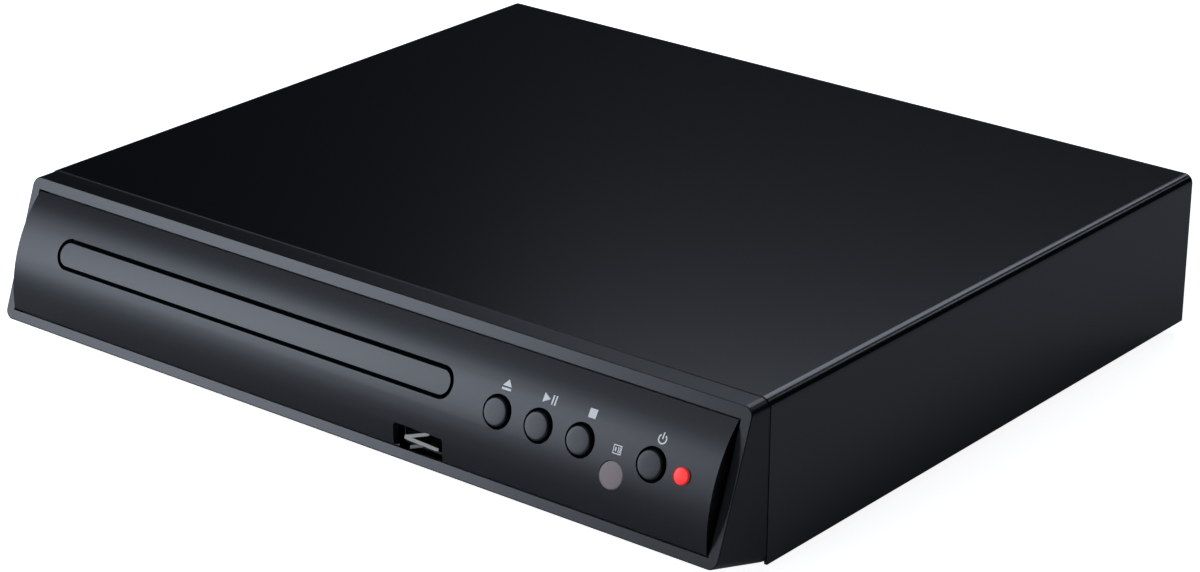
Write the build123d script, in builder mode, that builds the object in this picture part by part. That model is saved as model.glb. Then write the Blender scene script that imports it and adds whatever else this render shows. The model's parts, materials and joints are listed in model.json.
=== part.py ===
from build123d import *
import os
from math import atan2, cos, degrees, hypot, pi, radians, sin, sqrt, tan

# Compact disc player: a steel cover on a steel chassis, a sloped moulded front with a bulged
# fascia, and a belt-driven loader whose tray runs out through the slot in the fascia.
# Millimetres. X to the right, Y to the back, Z up from the surface that the feet stand on.

os.makedirs("parts", exist_ok=True)

# ---- Driving dimensions -------------------------------------------------------------------

body_width = 225.0  # cover, side to side
body_depth = 182.0  # cover, from its seam with the bezel to the back
body_height = 40.0  # cover, without the feet
foot_height = 3.0
foot_radius = 8.0
foot_inset = 17.0  # foot centre from the sides, the seam and the back
foot_stem_radius = 2.0

sheet = 0.8  # steel of the cover, chassis and rear panel
cover_roll = 2.4  # outer radius along the long top edges
cover_back_roll = 0.9  # outer radius where the cover turns in at the back
cover_back_lip = 8.5
cover_side_lip = 6.0
slip = 0.3  # gap between sheets that slide into each other

# Bezel: its face leans back, from the chin to the top edge.
top_overhang = 6.1
bottom_overhang = 18.8
chin_height = 5.3
bezel_wall = 2.0
bezel_inset = 0.15  # bezel inside the cover's outline
bezel_corner = 2.4
bezel_edge = 0.3
bezel_tongue = 6.0  # reach of the tongue inside the cover
tongue_wall = 1.6
hook_wall = 1.5
hook_width = 9.0
hook_places = (-103.0, -45.0, 79.0)
frame_top = 3.05  # widths of the frame round the fascia
frame_bottom = 2.55
frame_side = 2.65

# Fascia: a shallow arch along X. It starts level with the frame's top bar and is highest at
# fascia_peak down the slope.
fascia_bulge = 3.7
fascia_peak = 19.0
fascia_wall = 1.8
fascia_lip = 0.4  # radius along its lower edge
fascia_gap = 0.45
fascia_flange = 0.95
flange_wall = 1.4

# Tray slot and door: the slot is as long as the tray is wide, with slot_side at each end
slot_side = 1.85
slot_height = 7.3
slot_x = -30.6
slot_z = 26.15  # above the cover's bottom edge
door_gap = 1.0
door_wall = 1.6

# Controls on the fascia: places in from its right end and down the slope
button_radius = 3.7
button_gap = 0.4
button_proud = 0.9
button_travel = 0.6
button_rest_gap = 0.05  # left between a cap and its switch when pressed
button_flange = 1.2
button_edge = 0.5
button_down = 18.3
buttons_in = {"eject": 61.15, "play": 49.15, "stop": 37.15, "power": 17.15}
receiver_in = 27.15
receiver_down = 23.5
receiver_radius = 3.3
lamp_in = 8.55
lamp_down = 18.5
lamp_radius = 1.95
lens_gap = 0.1

# USB port under the tray slot
usb_x = 26.1
usb_notch_width = 15.0
usb_notch_height = 5.6
usb_notch_corner = 1.0
usb_mouth_width = 12.5
usb_mouth_height = 5.12
usb_shell = 0.3
usb_length = 14.0
usb_rise = 11.1  # middle of the mouth above the cover's bottom edge
usb_setback = 1.2  # mouth behind the fascia
usb_board_width = 26.0
usb_screw_spacing = 20.4
usb_screw_back = 5.0  # in front of the seam

# Disc tray
tray_travel = 126.0
tray_body_width = 117.0
tray_ledge = 4.5  # reach of its flange on each side
tray_height = 5.4
tray_length = 158.0
disc_recess = 120.6
disc_recess_depth = 2.8
small_recess = 80.6
small_recess_depth = 1.0
tray_nose = 5.0  # tray in front of the recess
tray_flange = 2.9
window_width = 36.0
window_reach = 66.0
guide_gap = 0.3

# Drive train: a rack under the tray flange, two gears, a belt and its motor
rack_module = 1.0
drive_teeth = 14
wheel_module = 0.8
wheel_teeth = 24
pinion_teeth = 12
backlash = 0.18
gear_thickness = 2.6
drive_y = 13.0  # gear axes behind the seam
pulley_radius = 10.2
motor_pulley_radius = 3.0
pulley_height = 3.0
belt_width = 1.6
belt_thickness = 1.0
axle_radius = 1.5
axle_gap = 0.1
loading_motor_x = -34.0  # from the pulley axis
motor_radius = 12.2
motor_height = 12.3
motor_shaft_radius = 1.0

# Loader frame
loader_wall = 2.4
loader_floor = 2.0
loader_clear = 2.2  # under its floor, above the chassis
loader_front = 2.0  # behind the seam
loader_end_gap = 3.5  # behind the tray
deck_wall = 1.5
hold_down = 1.4
hold_down_length = 10.0
ledge_wall = 1.4
ear_radius = 4.5

# Air slots in the chassis
vent_length = 26.0
vent_width = 3.0
vent_pitch = 7.0
vent_count = 7

# Lift frame, hinged at its back, and the sled on it
lift_angle = 5.5  # lowered at rest, level when playing
hinge_reach = 77.5  # hinge axis behind the disc centre
hinge_height = 14.0
hinge_pin_radius = 2.0
lift_width = 80.0
lift_front = 18.5  # in front of the disc centre
lift_wall = 3.0
lift_window = 62.0
cam_travel = 17.0
cam_wall = 2.5
cam_pin_radius = 1.5
pin_gap = 3.0  # from the lift frame to the cam
pin_rise = 4.0
pin_tab = 2.4
cam_gap = 0.3
plate_wall = 1.2
grommet_radius = 3.6
grommet_height = 4.0
grommet_clear = 2.5  # from the hinge barrel
spindle_radius = 11.0
spindle_height = 6.0
turntable_radius = 15.0
turntable_height = 3.0
hub_radius = 7.4
hub_height = 2.2
pad_width = 2.6
pad_height = 0.5
rod_radius = 1.5
rod_spacing = 46.0
rod_length = 57.0
pickup_width = 34.0
pickup_length = 22.0
pickup_height = 6.5
pickup_inner = 25.0  # lens from the spindle at the inner stop
sled_travel = 32.0
lens_radius = 2.6
screw_radius = 1.5
feed_motor_length = 14.0
feed_motor_width = 12.0
feed_motor_height = 6.8
feed_motor_drop = 0.8  # middle of the motor under its shaft
bearing_wall = 1.2

# Clamp over the disc
bridge_wall = 1.2
bridge_width = 34.0
bridge_rise = 3.4  # underside above the tray
clamper_radius = 14.5
clamper_height = 3.6
clamper_neck = 11.5
clamper_flange = 1.0
clamper_play = 0.4

# Boards and what they carry
board = 1.6
board_rise = 5.0
standoff_radius = 3.0
main_board_in = 60.5  # its left end, in from the right side
main_board_front = 10.0
board_edge = 2.5
rear_strip = 25.0
main_strip_x = 6.0
power_gap = 4.0
front_board_back = 7.5  # behind the bezel's face
front_board_start = 68.25  # ends of the front board, in from the fascia's right end
front_board_end = 2.25
front_board_top = 7.0  # down the slope
front_board_bottom = 29.0
post_radius = 2.5
post_inset = (4.0, 3.5)  # posts from the ends of the front board
post_downs = (10.0, 26.0)
switch_side = 6.0
switch_height = 3.5

# Sockets on the back
jack_pitch = 14.0
jack_in = 60.5  # first jack, in from the right side
jack_z = 15.5
jack_count = 4
jack_radius = 4.15
jack_bore_radius = 1.7
jack_reach = 8.2  # beyond the back of the cover
jack_shoulder = 0.9  # ring at the foot of each sleeve, on the rear panel
jack_block_depth = 11.0
hdmi_in = 84.5
hdmi_width = 14.0
hdmi_height = 4.6
hdmi_depth = 10.0
inlet_in = 26.5  # in from the left side
inlet_z = 17.0
inlet_width = 17.0
inlet_height = 9.5
inlet_depth = 17.0
inlet_wall = 2.0
inlet_flange = 3.5
inlet_pin_radius = 1.2
inlet_pin_spacing = 8.6

screw_head_radius = 2.7
screw_head_height = 1.4
screw_shank_radius = 1.4
screw_length = 4.0

# ---- Places worked out from them ----------------------------------------------------------

tray_width = tray_body_width + 2 * tray_ledge
slot_length = tray_width + 2 * slot_side
z_body = foot_height
z_top = z_body + body_height
seam = (bottom_overhang - body_depth - jack_reach) / 2  # Y of the seam
back = seam + body_depth
half = body_width / 2
side_inner = half - sheet  # inner faces of the cover
jack_x = half - jack_in
hdmi_x = half - hdmi_in
inlet_x = inlet_in - half
z_floor = z_body + sheet  # upper face of the chassis

slope_run = bottom_overhang - top_overhang
slope_rise = body_height - chin_height
tilt = atan2(slope_run, slope_rise)
face_length = hypot(slope_run, slope_rise)
face = Plane(
    origin=(0, seam - top_overhang, z_top),
    x_dir=(1, 0, 0),
    z_dir=(0, -cos(tilt), sin(tilt)),
)
# Cross-section of the front: x is out of the face, y is up the slope.
section = Plane(origin=face.origin, x_dir=face.z_dir, z_dir=(-1, 0, 0))

# Back of the front board: x is to the right, y is down the slope.
face_from_behind = Plane(
    origin=face.offset(-front_board_back - board).origin, x_dir=(1, 0, 0), z_dir=-face.z_dir
)

fascia_half = half - bezel_inset - frame_side - fascia_gap
fascia_top = frame_top + fascia_gap
fascia_bottom = face_length - frame_bottom - fascia_gap
arch_radius = ((fascia_peak - fascia_top) ** 2 + fascia_bulge**2) / (2 * fascia_bulge)

button_places = {name: fascia_half - reach for name, reach in buttons_in.items()}
receiver_x = fascia_half - receiver_in
lamp_x = fascia_half - lamp_in
front_board_left = fascia_half - front_board_start
front_board_right = fascia_half - front_board_end
front_post_places = [
    (x, down)
    for x in (front_board_left + post_inset[0], front_board_right - post_inset[1])
    for down in post_downs
]


def bulge(down, inset=0.0):
    """Height of the fascia above the frame's face, at a distance down the slope."""
    return fascia_bulge - arch_radius + sqrt((arch_radius - inset) ** 2 - (down - fascia_peak) ** 2)


def level(z):
    """Horizontal plane."""
    return Plane.XY.offset(z)


def upright(y):
    """Plane that faces the front, with x to the right and y up."""
    return Plane(origin=(0, y, 0), x_dir=(1, 0, 0), z_dir=(0, -1, 0))


def rearward(y):
    """Plane that faces the back, with x to the left and y up."""
    return Plane(origin=(0, y, 0), x_dir=(-1, 0, 0), z_dir=(0, 1, 0))


def rect(x0, x1, y0, y1, mode=Mode.ADD):
    """Rectangle from corner to corner on the sketch's plane."""
    with Locations(((x0 + x1) / 2, (y0 + y1) / 2)):
        Rectangle(abs(x1 - x0), abs(y1 - y0), mode=mode)


def discs(places, radius, mode=Mode.ADD):
    """A circle at each place on the sketch's plane."""
    with Locations(*places):
        Circle(radius, mode=mode)


def down_at(z):
    """Distance down the slope where the fascia stands at height z."""
    down = (z_top - z) / cos(tilt)
    for _ in range(4):
        down = (z_top - z + bulge(down) * sin(tilt)) / cos(tilt)
    return down


def fascia_y(z):
    """Y of the fascia's outer surface at height z."""
    down = down_at(z)
    return seam - top_overhang - down * sin(tilt) - bulge(down) * cos(tilt)


def save(piece, name):
    """Labels a finished piece and writes its STEP file."""
    piece.part.label = name
    export_step(piece.part, f"parts/{name}.step")


# ---- Housing ------------------------------------------------------------------------------

rear_outer = back - sheet  # outer face of the rear panel, against the cover's lips
rear_inner = rear_outer - sheet
chassis_half = side_inner - slip
chassis_front = seam + 1.0
chassis_side_height = 12.0
chassis_front_height = 9.0

foot_places = [
    (side * (half - foot_inset), y)
    for side in (-1, 1)
    for y in (seam + foot_inset, back - foot_inset)
]
lip_screw_places = [(x, z_top - cover_back_lip / 2) for x in (-0.85 * half, 0, 0.85 * half)]

with BuildPart() as top_cover:
    with BuildSketch(level(z_body)):
        rect(-half, half, seam, back)
    extrude(amount=body_height)
    fillet(top_cover.edges().filter_by(Axis.Y).group_by(Axis.Z)[-1], cover_roll)
    rear_face = top_cover.faces().sort_by(Axis.Y)[-1]
    fillet(rear_face.edges().sort_by(Axis.Z)[1:], cover_back_roll)
    front_end = top_cover.faces().sort_by(Axis.Y)[0]
    underside = top_cover.faces().sort_by(Axis.Z)[0]
    offset(amount=-sheet, openings=[front_end, underside])
    with BuildSketch(upright(back)):
        rect(-half + cover_side_lip, half - cover_side_lip, z_body, z_top - cover_back_lip)
    extrude(amount=cover_roll, both=True, mode=Mode.SUBTRACT)
    with BuildSketch(upright(back)):
        discs(lip_screw_places, screw_shank_radius + slip / 2)
    extrude(amount=cover_roll, both=True, mode=Mode.SUBTRACT)
save(top_cover, "top_cover")

# ---- Places inside ------------------------------------------------------------------------

z_slot = z_body + slot_z
tray_top = z_slot + tray_height / 2
tray_bottom = z_slot - tray_height / 2
tray_seat = tray_top - disc_recess_depth  # floor of the large recess
flange_bottom = tray_top - tray_flange
tray_x = slot_x
door_back = fascia_y(z_slot + slot_height / 2) + door_wall
tray_front = door_back
tray_back = tray_front + tray_length
disc_y = tray_front + tray_nose + disc_recess / 2
half_tray = tray_width / 2
half_body = tray_body_width / 2

rack_pitch_line = half_body + 1.1 * rack_module
drive_radius = rack_module * drive_teeth / 2
wheel_radius = wheel_module * wheel_teeth / 2
pinion_radius = wheel_module * pinion_teeth / 2
drive_x = tray_x + rack_pitch_line + drive_radius
pulley_x = drive_x - wheel_radius - pinion_radius
gear_y = seam + drive_y
motor_x = pulley_x + loading_motor_x
motor_y = gear_y + 2.0

loader_z = z_floor + loader_clear
loader_top = tray_top + guide_gap + hold_down
loader_y0 = seam + loader_front
loader_y1 = tray_back + loader_end_gap
guide_inner = half_tray + guide_gap + 0.1
guide_outer = guide_inner + loader_wall
deck_z = z_body + motor_height + 1.4  # underside of the gear deck
deck_top = deck_z + deck_wall
deck_x1 = drive_x - tray_x + wheel_radius + 2.4
deck_y1 = gear_y + wheel_radius + 4.6

hinge_y = disc_y + hinge_reach
hinge_z = z_body + hinge_height
lift = radians(lift_angle)
sled = Plane(origin=(tray_x, hinge_y, hinge_z), x_dir=(1, 0, 0), z_dir=(0, -sin(lift), cos(lift)))
disc_height = tray_seat + 1.5 - hinge_z  # disc's underside above the hinge, when playing
lift_top = lift_wall / 2
plate_z = lift_top + grommet_height / 2
plate_top = plate_z + plate_wall
rod_z = plate_top + rod_radius + 0.4
rod_front = -hinge_reach + 12.8
rod_back = rod_front + rod_length
screw_x = rod_spacing / 2 + 7.0
screw_front = rod_front - 4.0


def tray_level(z):
    """Horizontal plane with its x counted from the middle of the tray."""
    return Plane(origin=(tray_x, 0, z))


def sled_upright(y):
    """Plane square to the sled's rods that faces the front, at y from the hinge."""
    return Plane(
        origin=sled.from_local_coords(Vector(0, y, 0)), x_dir=sled.x_dir, z_dir=-sled.y_dir
    )


def screws(name, *rows):
    """Pan-head screws, a solid each. A row is a plane for the heads to stand on, and places."""
    with BuildPart() as group:
        for plane, places in rows:
            with BuildSketch(plane):
                discs(places, screw_head_radius)
            extrude(amount=screw_head_height, taper=20)
            with BuildSketch(plane):
                discs(places, screw_shank_radius)
            extrude(amount=-screw_length)
    save(group, name)


def gear_outline(module, teeth, centre, first):
    """Spur gear face with teeth thinned by the backlash; first is one tooth's angle in radians."""
    pitch = module * teeth / 2
    base = pitch * cos(radians(20))

    def half_angle(radius):
        grown = sqrt(max((radius / base) ** 2 - 1, 0))
        involute = grown - atan2(grown, 1)
        return pi / (2 * teeth) + tan(radians(20)) - radians(20) - involute - backlash / (2 * pitch)

    corners = []
    for tooth in range(teeth):
        middle = first + 2 * pi * tooth / teeth
        for radius, side in (
            (pitch - 1.25 * module, -1),
            (pitch, -1),
            (pitch + 0.9 * module, -1),
            (pitch + 0.9 * module, 1),
            (pitch, 1),
            (pitch - 1.25 * module, 1),
        ):
            angle = middle + side * half_angle(radius)
            corners.append((centre[0] + radius * cos(angle), centre[1] + radius * sin(angle)))
    with BuildSketch() as outline:
        with BuildLine():
            Polyline(*corners, close=True)
        make_face()
    return outline.sketch


# ---- Chassis and rear panel ---------------------------------------------------------------

# A pan with its sides and front turned up, slotted for air, with standoffs for what it carries.
board_z = z_floor + board_rise
main_x0 = half - main_board_in
main_x1 = chassis_half - sheet - board_edge
main_y0 = seam + main_board_front
main_y1 = rear_inner - slip
strip_y0 = main_y1 - rear_strip
strip_x0 = main_strip_x
power_x0 = -main_x1
power_x1 = strip_x0 - power_gap
inset = 4.5  # screws from the boards' edges
main_screw_places = [
    (main_x0 + inset, main_y0 + inset),
    (main_x1 - inset, main_y0 + inset),
    (main_x1 - inset, strip_y0),
    (strip_x0 + inset, strip_y0 + inset),
]
power_screw_places = [
    (power_x0 + inset, strip_y0 + inset),
    (power_x1 - inset, strip_y0 + inset),
]
ear_x = guide_outer + ear_radius - 0.5
loader_screw_places = [
    (tray_x - ear_x, loader_y0 + 30.0),
    (tray_x - ear_x, loader_y1 - 10.0),
    (tray_x + ear_x, loader_y0 + 45.0),
    (tray_x + ear_x, loader_y1 - 10.0),
]
pilot = screw_shank_radius + 0.05

with BuildPart() as base_chassis:
    with BuildSketch(level(z_body)):
        rect(-chassis_half, chassis_half, chassis_front, rear_inner)
    extrude(amount=sheet)
    with BuildSketch(level(z_floor)):
        for side in (-1, 1):
            rect(side * (chassis_half - sheet), side * chassis_half, chassis_front + 2 * sheet, rear_inner)
    extrude(amount=chassis_side_height - sheet)
    with BuildSketch(level(z_floor)):
        rect(-chassis_half + 2 * sheet, chassis_half - 2 * sheet, chassis_front, chassis_front + sheet)
    extrude(amount=chassis_front_height - sheet)
    with BuildSketch(level(z_floor)):
        discs(main_screw_places + power_screw_places, standoff_radius)
    extrude(amount=board_rise)
    with BuildSketch(level(z_floor)):
        discs(loader_screw_places, ear_radius)
    extrude(amount=loader_clear)
    with BuildSketch(level(z_floor + board_rise)):
        discs(main_screw_places + power_screw_places + loader_screw_places, pilot)
    extrude(amount=-board_rise, mode=Mode.SUBTRACT)
    with BuildSketch(level(z_body)):
        discs(foot_places, foot_stem_radius + slip / 3)
        for x in (-0.62 * half, 0.8 * half):
            with Locations((x, seam + 0.55 * body_depth)):
                with GridLocations(0, vent_pitch, 1, vent_count):
                    SlotOverall(vent_length, vent_width)
    extrude(amount=sheet, mode=Mode.SUBTRACT)
save(base_chassis, "base_chassis")

with BuildPart() as rubber_feet:
    with BuildSketch(level(z_body)):
        discs(foot_places, foot_radius)
    extrude(amount=-foot_height, taper=8)
    with BuildSketch(level(z_body)):
        discs(foot_places, foot_stem_radius)
    extrude(amount=sheet)
    with BuildSketch(level(z_floor)):
        discs(foot_places, foot_stem_radius + 0.8)
    extrude(amount=1.4, taper=25)
save(rubber_feet, "rubber_feet")

jack_places = [(jack_x + jack_pitch * i, z_body + jack_z) for i in range(jack_count)]
hdmi_z = board_z + board + hdmi_height / 2
inlet_z_mid = z_body + inlet_z
panel_flange = 8.0
panel_top = z_top - sheet - slip

with BuildPart() as rear_panel:
    with BuildSketch(upright(rear_outer)) as sheet_outline:
        rect(-chassis_half, chassis_half, z_body, panel_top)
        fillet(sheet_outline.vertices().group_by(Axis.Y)[-1], cover_roll - sheet)
        discs(jack_places, jack_radius + slip, mode=Mode.SUBTRACT)
        discs(lip_screw_places, pilot, mode=Mode.SUBTRACT)
        with Locations((hdmi_x, hdmi_z)):
            Rectangle(hdmi_width + slip, hdmi_height + slip, mode=Mode.SUBTRACT)
        with Locations((inlet_x, inlet_z_mid)):
            Rectangle(inlet_width + slip, inlet_height + slip, mode=Mode.SUBTRACT)
    extrude(amount=sheet)
save(rear_panel, "rear_panel")
screws("cover_screws", (rearward(back), lip_screw_places))

# ---- Bezel and fascia ---------------------------------------------------------------------

bezel_half = half - bezel_inset
bezel_top = z_top - bezel_inset
hook_top = z_body + chassis_front_height + slip + hook_wall
usb_z = z_body + usb_rise
usb_front = fascia_y(usb_z) + fascia_wall + usb_setback
shell_x = usb_mouth_width / 2 + usb_shell
shell_z = usb_mouth_height / 2 + usb_shell
usb_board_top = usb_z - shell_z
usb_screw_places = [(usb_x + side * usb_screw_spacing / 2, seam - usb_screw_back) for side in (-1, 1)]

with BuildPart() as front_bezel:
    with BuildSketch(Plane.YZ.offset(-bezel_half)):
        with BuildLine():
            Polyline(
                (seam, z_body),
                (seam - bottom_overhang, z_body + chin_height),
                (seam - top_overhang - bezel_inset * tan(tilt), bezel_top),
                (seam, bezel_top),
                close=True,
            )
        make_face()
    extrude(amount=2 * bezel_half)
    fillet(front_bezel.edges().filter_by(Axis.Y).group_by(Axis.Z)[-1], cover_roll)
    chin = front_bezel.faces().sort_by(Axis.Z)[0]
    fillet(chin.edges().filter_by(Axis.X, reverse=True), bezel_corner)
    fillet(front_bezel.faces().sort_by(Axis.Y)[0].edges(), bezel_edge)
    offset(amount=-bezel_wall, openings=front_bezel.faces().sort_by(Axis.Y)[-1])
    with BuildSketch(face):
        rect(-bezel_half + frame_side, bezel_half - frame_side, -frame_top, frame_bottom - face_length)
    extrude(amount=2 * bezel_wall, both=True, mode=Mode.SUBTRACT)
    # Tongue round the top and sides, inside the cover
    with BuildSketch(upright(seam - bezel_wall)) as tongue:
        tongue_half = side_inner - slip
        tongue_z = z_body + chassis_side_height + slip
        rect(-tongue_half, tongue_half, tongue_z, panel_top)
        fillet(tongue.vertices().group_by(Axis.Y)[-1], cover_roll - sheet)
        rect(
            tongue_wall - tongue_half,
            tongue_half - tongue_wall,
            tongue_z,
            panel_top - tongue_wall,
            mode=Mode.SUBTRACT,
        )
    extrude(amount=-bezel_tongue - bezel_wall)
    # Hooks over the chassis's front flange, from the bottom wall
    hook_back = chassis_front + sheet + slip
    for x in hook_places:
        with BuildSketch(Plane.YZ.offset(x - hook_width / 2)):
            with BuildLine():
                Polyline(
                    (seam - 2 * hook_wall, z_body + bezel_wall / 2),
                    (seam - 2 * hook_wall, hook_top),
                    (hook_back + hook_wall, hook_top),
                    (hook_back + hook_wall, hook_top - 2 * hook_wall),
                    (hook_back, hook_top - 2 * hook_wall),
                    (hook_back, hook_top - hook_wall),
                    (seam - hook_wall, hook_top - hook_wall),
                    (seam - hook_wall, z_body + bezel_wall / 2),
                    close=True,
                )
            make_face()
        extrude(amount=hook_width)
    # Posts under the USB board
    with BuildSketch(level(usb_board_top - board)):
        discs(usb_screw_places, post_radius)
    extrude(amount=z_body + bezel_wall - usb_board_top + board)
    with BuildSketch(level(usb_board_top - board)):
        discs(usb_screw_places, pilot)
    extrude(amount=board - screw_length, mode=Mode.SUBTRACT)
save(front_bezel, "front_bezel")


def fascia_outline(inset, back_edge):
    """Cross-section of the arch, drawn in from its outer surface."""
    top = fascia_top + inset
    bottom = fascia_bottom - inset
    with BuildSketch(section) as outline:
        with BuildLine():
            arch = ThreePointArc(
                (bulge(bottom, inset), -bottom),
                (fascia_bulge - inset, -fascia_peak),
                (bulge(top, inset), -top),
            )
            Polyline(arch @ 1, (back_edge, -top), (back_edge, -bottom), arch @ 0)
        make_face()
        fillet(outline.vertices().group_by(Axis.Y)[0].sort_by(Axis.X)[-1], fascia_lip)
    return outline.sketch


control_places = [(x, -button_down) for x in button_places.values()]
board_face = -front_board_back  # front of the sloping board, out of the bezel's face
notch_top = usb_z + usb_notch_height / 2

with BuildPart() as front_panel:
    extrude(fascia_outline(0, -bezel_wall), amount=fascia_half, both=True)
    with BuildSketch(face.offset(-bezel_wall)) as flange:
        rect(
            -fascia_half - fascia_flange,
            fascia_half + fascia_flange,
            -fascia_bottom - fascia_flange * 2 / 3,
            -fascia_top + fascia_flange,
        )
        fillet(flange.vertices(), bezel_corner)
    extrude(amount=-flange_wall)
    hollow = fascia_outline(fascia_wall, -bezel_wall - 2 * flange_wall)
    extrude(hollow, amount=fascia_half - fascia_wall, both=True, mode=Mode.SUBTRACT)
    # Posts that carry the front board
    for x, down in front_post_places:
        with BuildSketch(face.offset(board_face)):
            discs([(x, -down)], post_radius)
        extrude(amount=bulge(down) - fascia_wall / 2 - board_face)
    with BuildSketch(face.offset(board_face)):
        discs([(x, -down) for x, down in front_post_places], pilot)
    extrude(amount=screw_length - board, mode=Mode.SUBTRACT)
    # Collars that guide the buttons
    with BuildSketch(face):
        discs(control_places, button_radius + button_gap + 1.2)
    extrude(amount=fascia_bulge - fascia_wall / 2)
    with BuildSketch(face):
        discs(control_places, button_radius + button_gap)
        discs([(receiver_x, -receiver_down)], receiver_radius)
        discs([(lamp_x, -lamp_down)], lamp_radius)
    extrude(amount=2 * fascia_bulge, both=True, mode=Mode.SUBTRACT)
    with BuildSketch(upright(seam)):
        with Locations((slot_x, z_slot)):
            SlotOverall(slot_length, slot_height)
    extrude(amount=2 * bottom_overhang, mode=Mode.SUBTRACT)
    with BuildSketch(upright(seam)):
        with BuildLine():
            notch_x0 = usb_x - usb_notch_width / 2
            notch_x1 = usb_x + usb_notch_width / 2
            Polyline(
                (notch_x0, z_body), (notch_x0, notch_top), (notch_x1, notch_top), (notch_x1, z_body), close=True
            )
        notch = make_face()
        fillet(notch.vertices().group_by(Axis.Y)[-1], usb_notch_corner)
    extrude(amount=2 * bottom_overhang, mode=Mode.SUBTRACT)
save(front_panel, "front_panel")

with BuildPart() as tray_door:
    extrude(fascia_outline(0, -3 * bezel_wall), amount=fascia_half, both=True)
    with BuildSketch(upright(door_back)):
        with Locations((slot_x, z_slot)):
            SlotOverall(slot_length - 2 * door_gap, slot_height - 2 * door_gap)
    extrude(amount=bottom_overhang, mode=Mode.INTERSECT)
save(tray_door, "tray_door")

# ---- Controls -----------------------------------------------------------------------------

switch_face = board_face + switch_height
button_back = switch_face + button_travel + button_rest_gap

for name, x in button_places.items():
    with BuildPart() as button:
        with BuildSketch(face.offset(button_back)):
            discs([(x, -button_down)], button_radius)
        extrude(amount=bulge(button_down) + button_proud - button_back)
        fillet(button.edges().sort_by(Axis(face.origin, face.z_dir))[-1], button_edge)
        with BuildSketch(face.offset(-slip)):
            discs([(x, -button_down)], button_radius + button_flange)
        extrude(amount=-0.9)
    save(button, f"{name}_button")

with BuildPart() as receiver_window:
    with BuildSketch(face.offset(bulge(receiver_down) - fascia_wall - 1.0)):
        discs([(receiver_x, -receiver_down)], receiver_radius - lens_gap)
    extrude(amount=fascia_wall + 1.0)
save(receiver_window, "receiver_window")

with BuildPart() as standby_lamp:
    with BuildSketch(face.offset(board_face)):
        discs([(lamp_x, -lamp_down)], lamp_radius + 0.5)
    extrude(amount=1.2)
    with BuildSketch(face.offset(board_face)):
        discs([(lamp_x, -lamp_down)], lamp_radius - lens_gap)
    extrude(amount=bulge(lamp_down) + 0.7 - board_face)
    fillet(standby_lamp.edges().sort_by(Axis(face.origin, face.z_dir))[-1], 1.2)
save(standby_lamp, "standby_lamp")

with BuildPart() as front_board:
    with BuildSketch(face.offset(board_face)):
        rect(front_board_left, front_board_right, -front_board_bottom, -front_board_top)
        discs([(x, -down) for x, down in front_post_places], pilot, mode=Mode.SUBTRACT)
    extrude(amount=-board)
save(front_board, "front_board")

with BuildPart() as button_switches:
    with BuildSketch(face.offset(board_face)):
        with Locations(*control_places):
            Rectangle(switch_side, switch_side)
    extrude(amount=switch_height - 0.8)
    with BuildSketch(face.offset(board_face)):
        discs(control_places, 1.7)
    extrude(amount=switch_height)
save(button_switches, "button_switches")

with BuildPart() as infrared_receiver:
    with BuildSketch(face.offset(board_face)):
        with Locations((receiver_x, -receiver_down)):
            Rectangle(5.4, 6.6)
    extrude(amount=2.4)
    with BuildSketch(face.offset(board_face)):
        discs([(receiver_x, -receiver_down)], 2.2)
    extrude(amount=bulge(receiver_down) - fascia_wall - 1.0 - slip - board_face)
save(infrared_receiver, "infrared_receiver")

# ---- USB port -----------------------------------------------------------------------------

with BuildPart() as usb_shell_part:
    with BuildSketch(upright(usb_front)):
        with Locations((usb_x, usb_z)):
            Rectangle(2 * shell_x, 2 * shell_z)
            Rectangle(usb_mouth_width, usb_mouth_height, mode=Mode.SUBTRACT)
    extrude(amount=-usb_length)
    with BuildSketch(upright(usb_front + usb_length)):
        with Locations((usb_x, usb_z)):
            Rectangle(usb_mouth_width, usb_mouth_height)
    extrude(amount=usb_shell)
save(usb_shell_part, "usb_shell")

tongue_height = 1.9
with BuildPart() as usb_tongue:
    with BuildSketch(upright(usb_front + 1.0)):
        with Locations((usb_x, usb_z + tongue_height / 2 + 0.2)):
            Rectangle(usb_mouth_width - 1.4, tongue_height)
    extrude(amount=usb_shell + 1.0 - usb_length)
save(usb_tongue, "usb_tongue")

with BuildPart() as usb_contacts:
    with BuildSketch(upright(usb_front + 2.0)):
        with Locations((usb_x, usb_z + 0.1)):
            with GridLocations(2.5, 0, 4, 1):
                Rectangle(1.1, 0.2)
    extrude(amount=usb_shell + 2.0 - usb_length)
save(usb_contacts, "usb_contacts")

with BuildPart() as usb_board:
    with BuildSketch(level(usb_board_top)):
        rect(usb_x - usb_board_width / 2, usb_x + usb_board_width / 2, usb_front + 2.0, seam - 0.5)
        discs(usb_screw_places, pilot, mode=Mode.SUBTRACT)
    extrude(amount=-board)
save(usb_board, "usb_board")

# ---- Disc tray ----------------------------------------------------------------------------

rack_pitch = pi * rack_module
rack_half_tooth = rack_pitch / 4 - backlash / 2
rack_start = gear_y - 2 * rack_pitch
rack_count = int((tray_travel + 4 * rack_pitch) / rack_pitch) + 1
tooth_lean = tan(radians(20))

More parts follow.
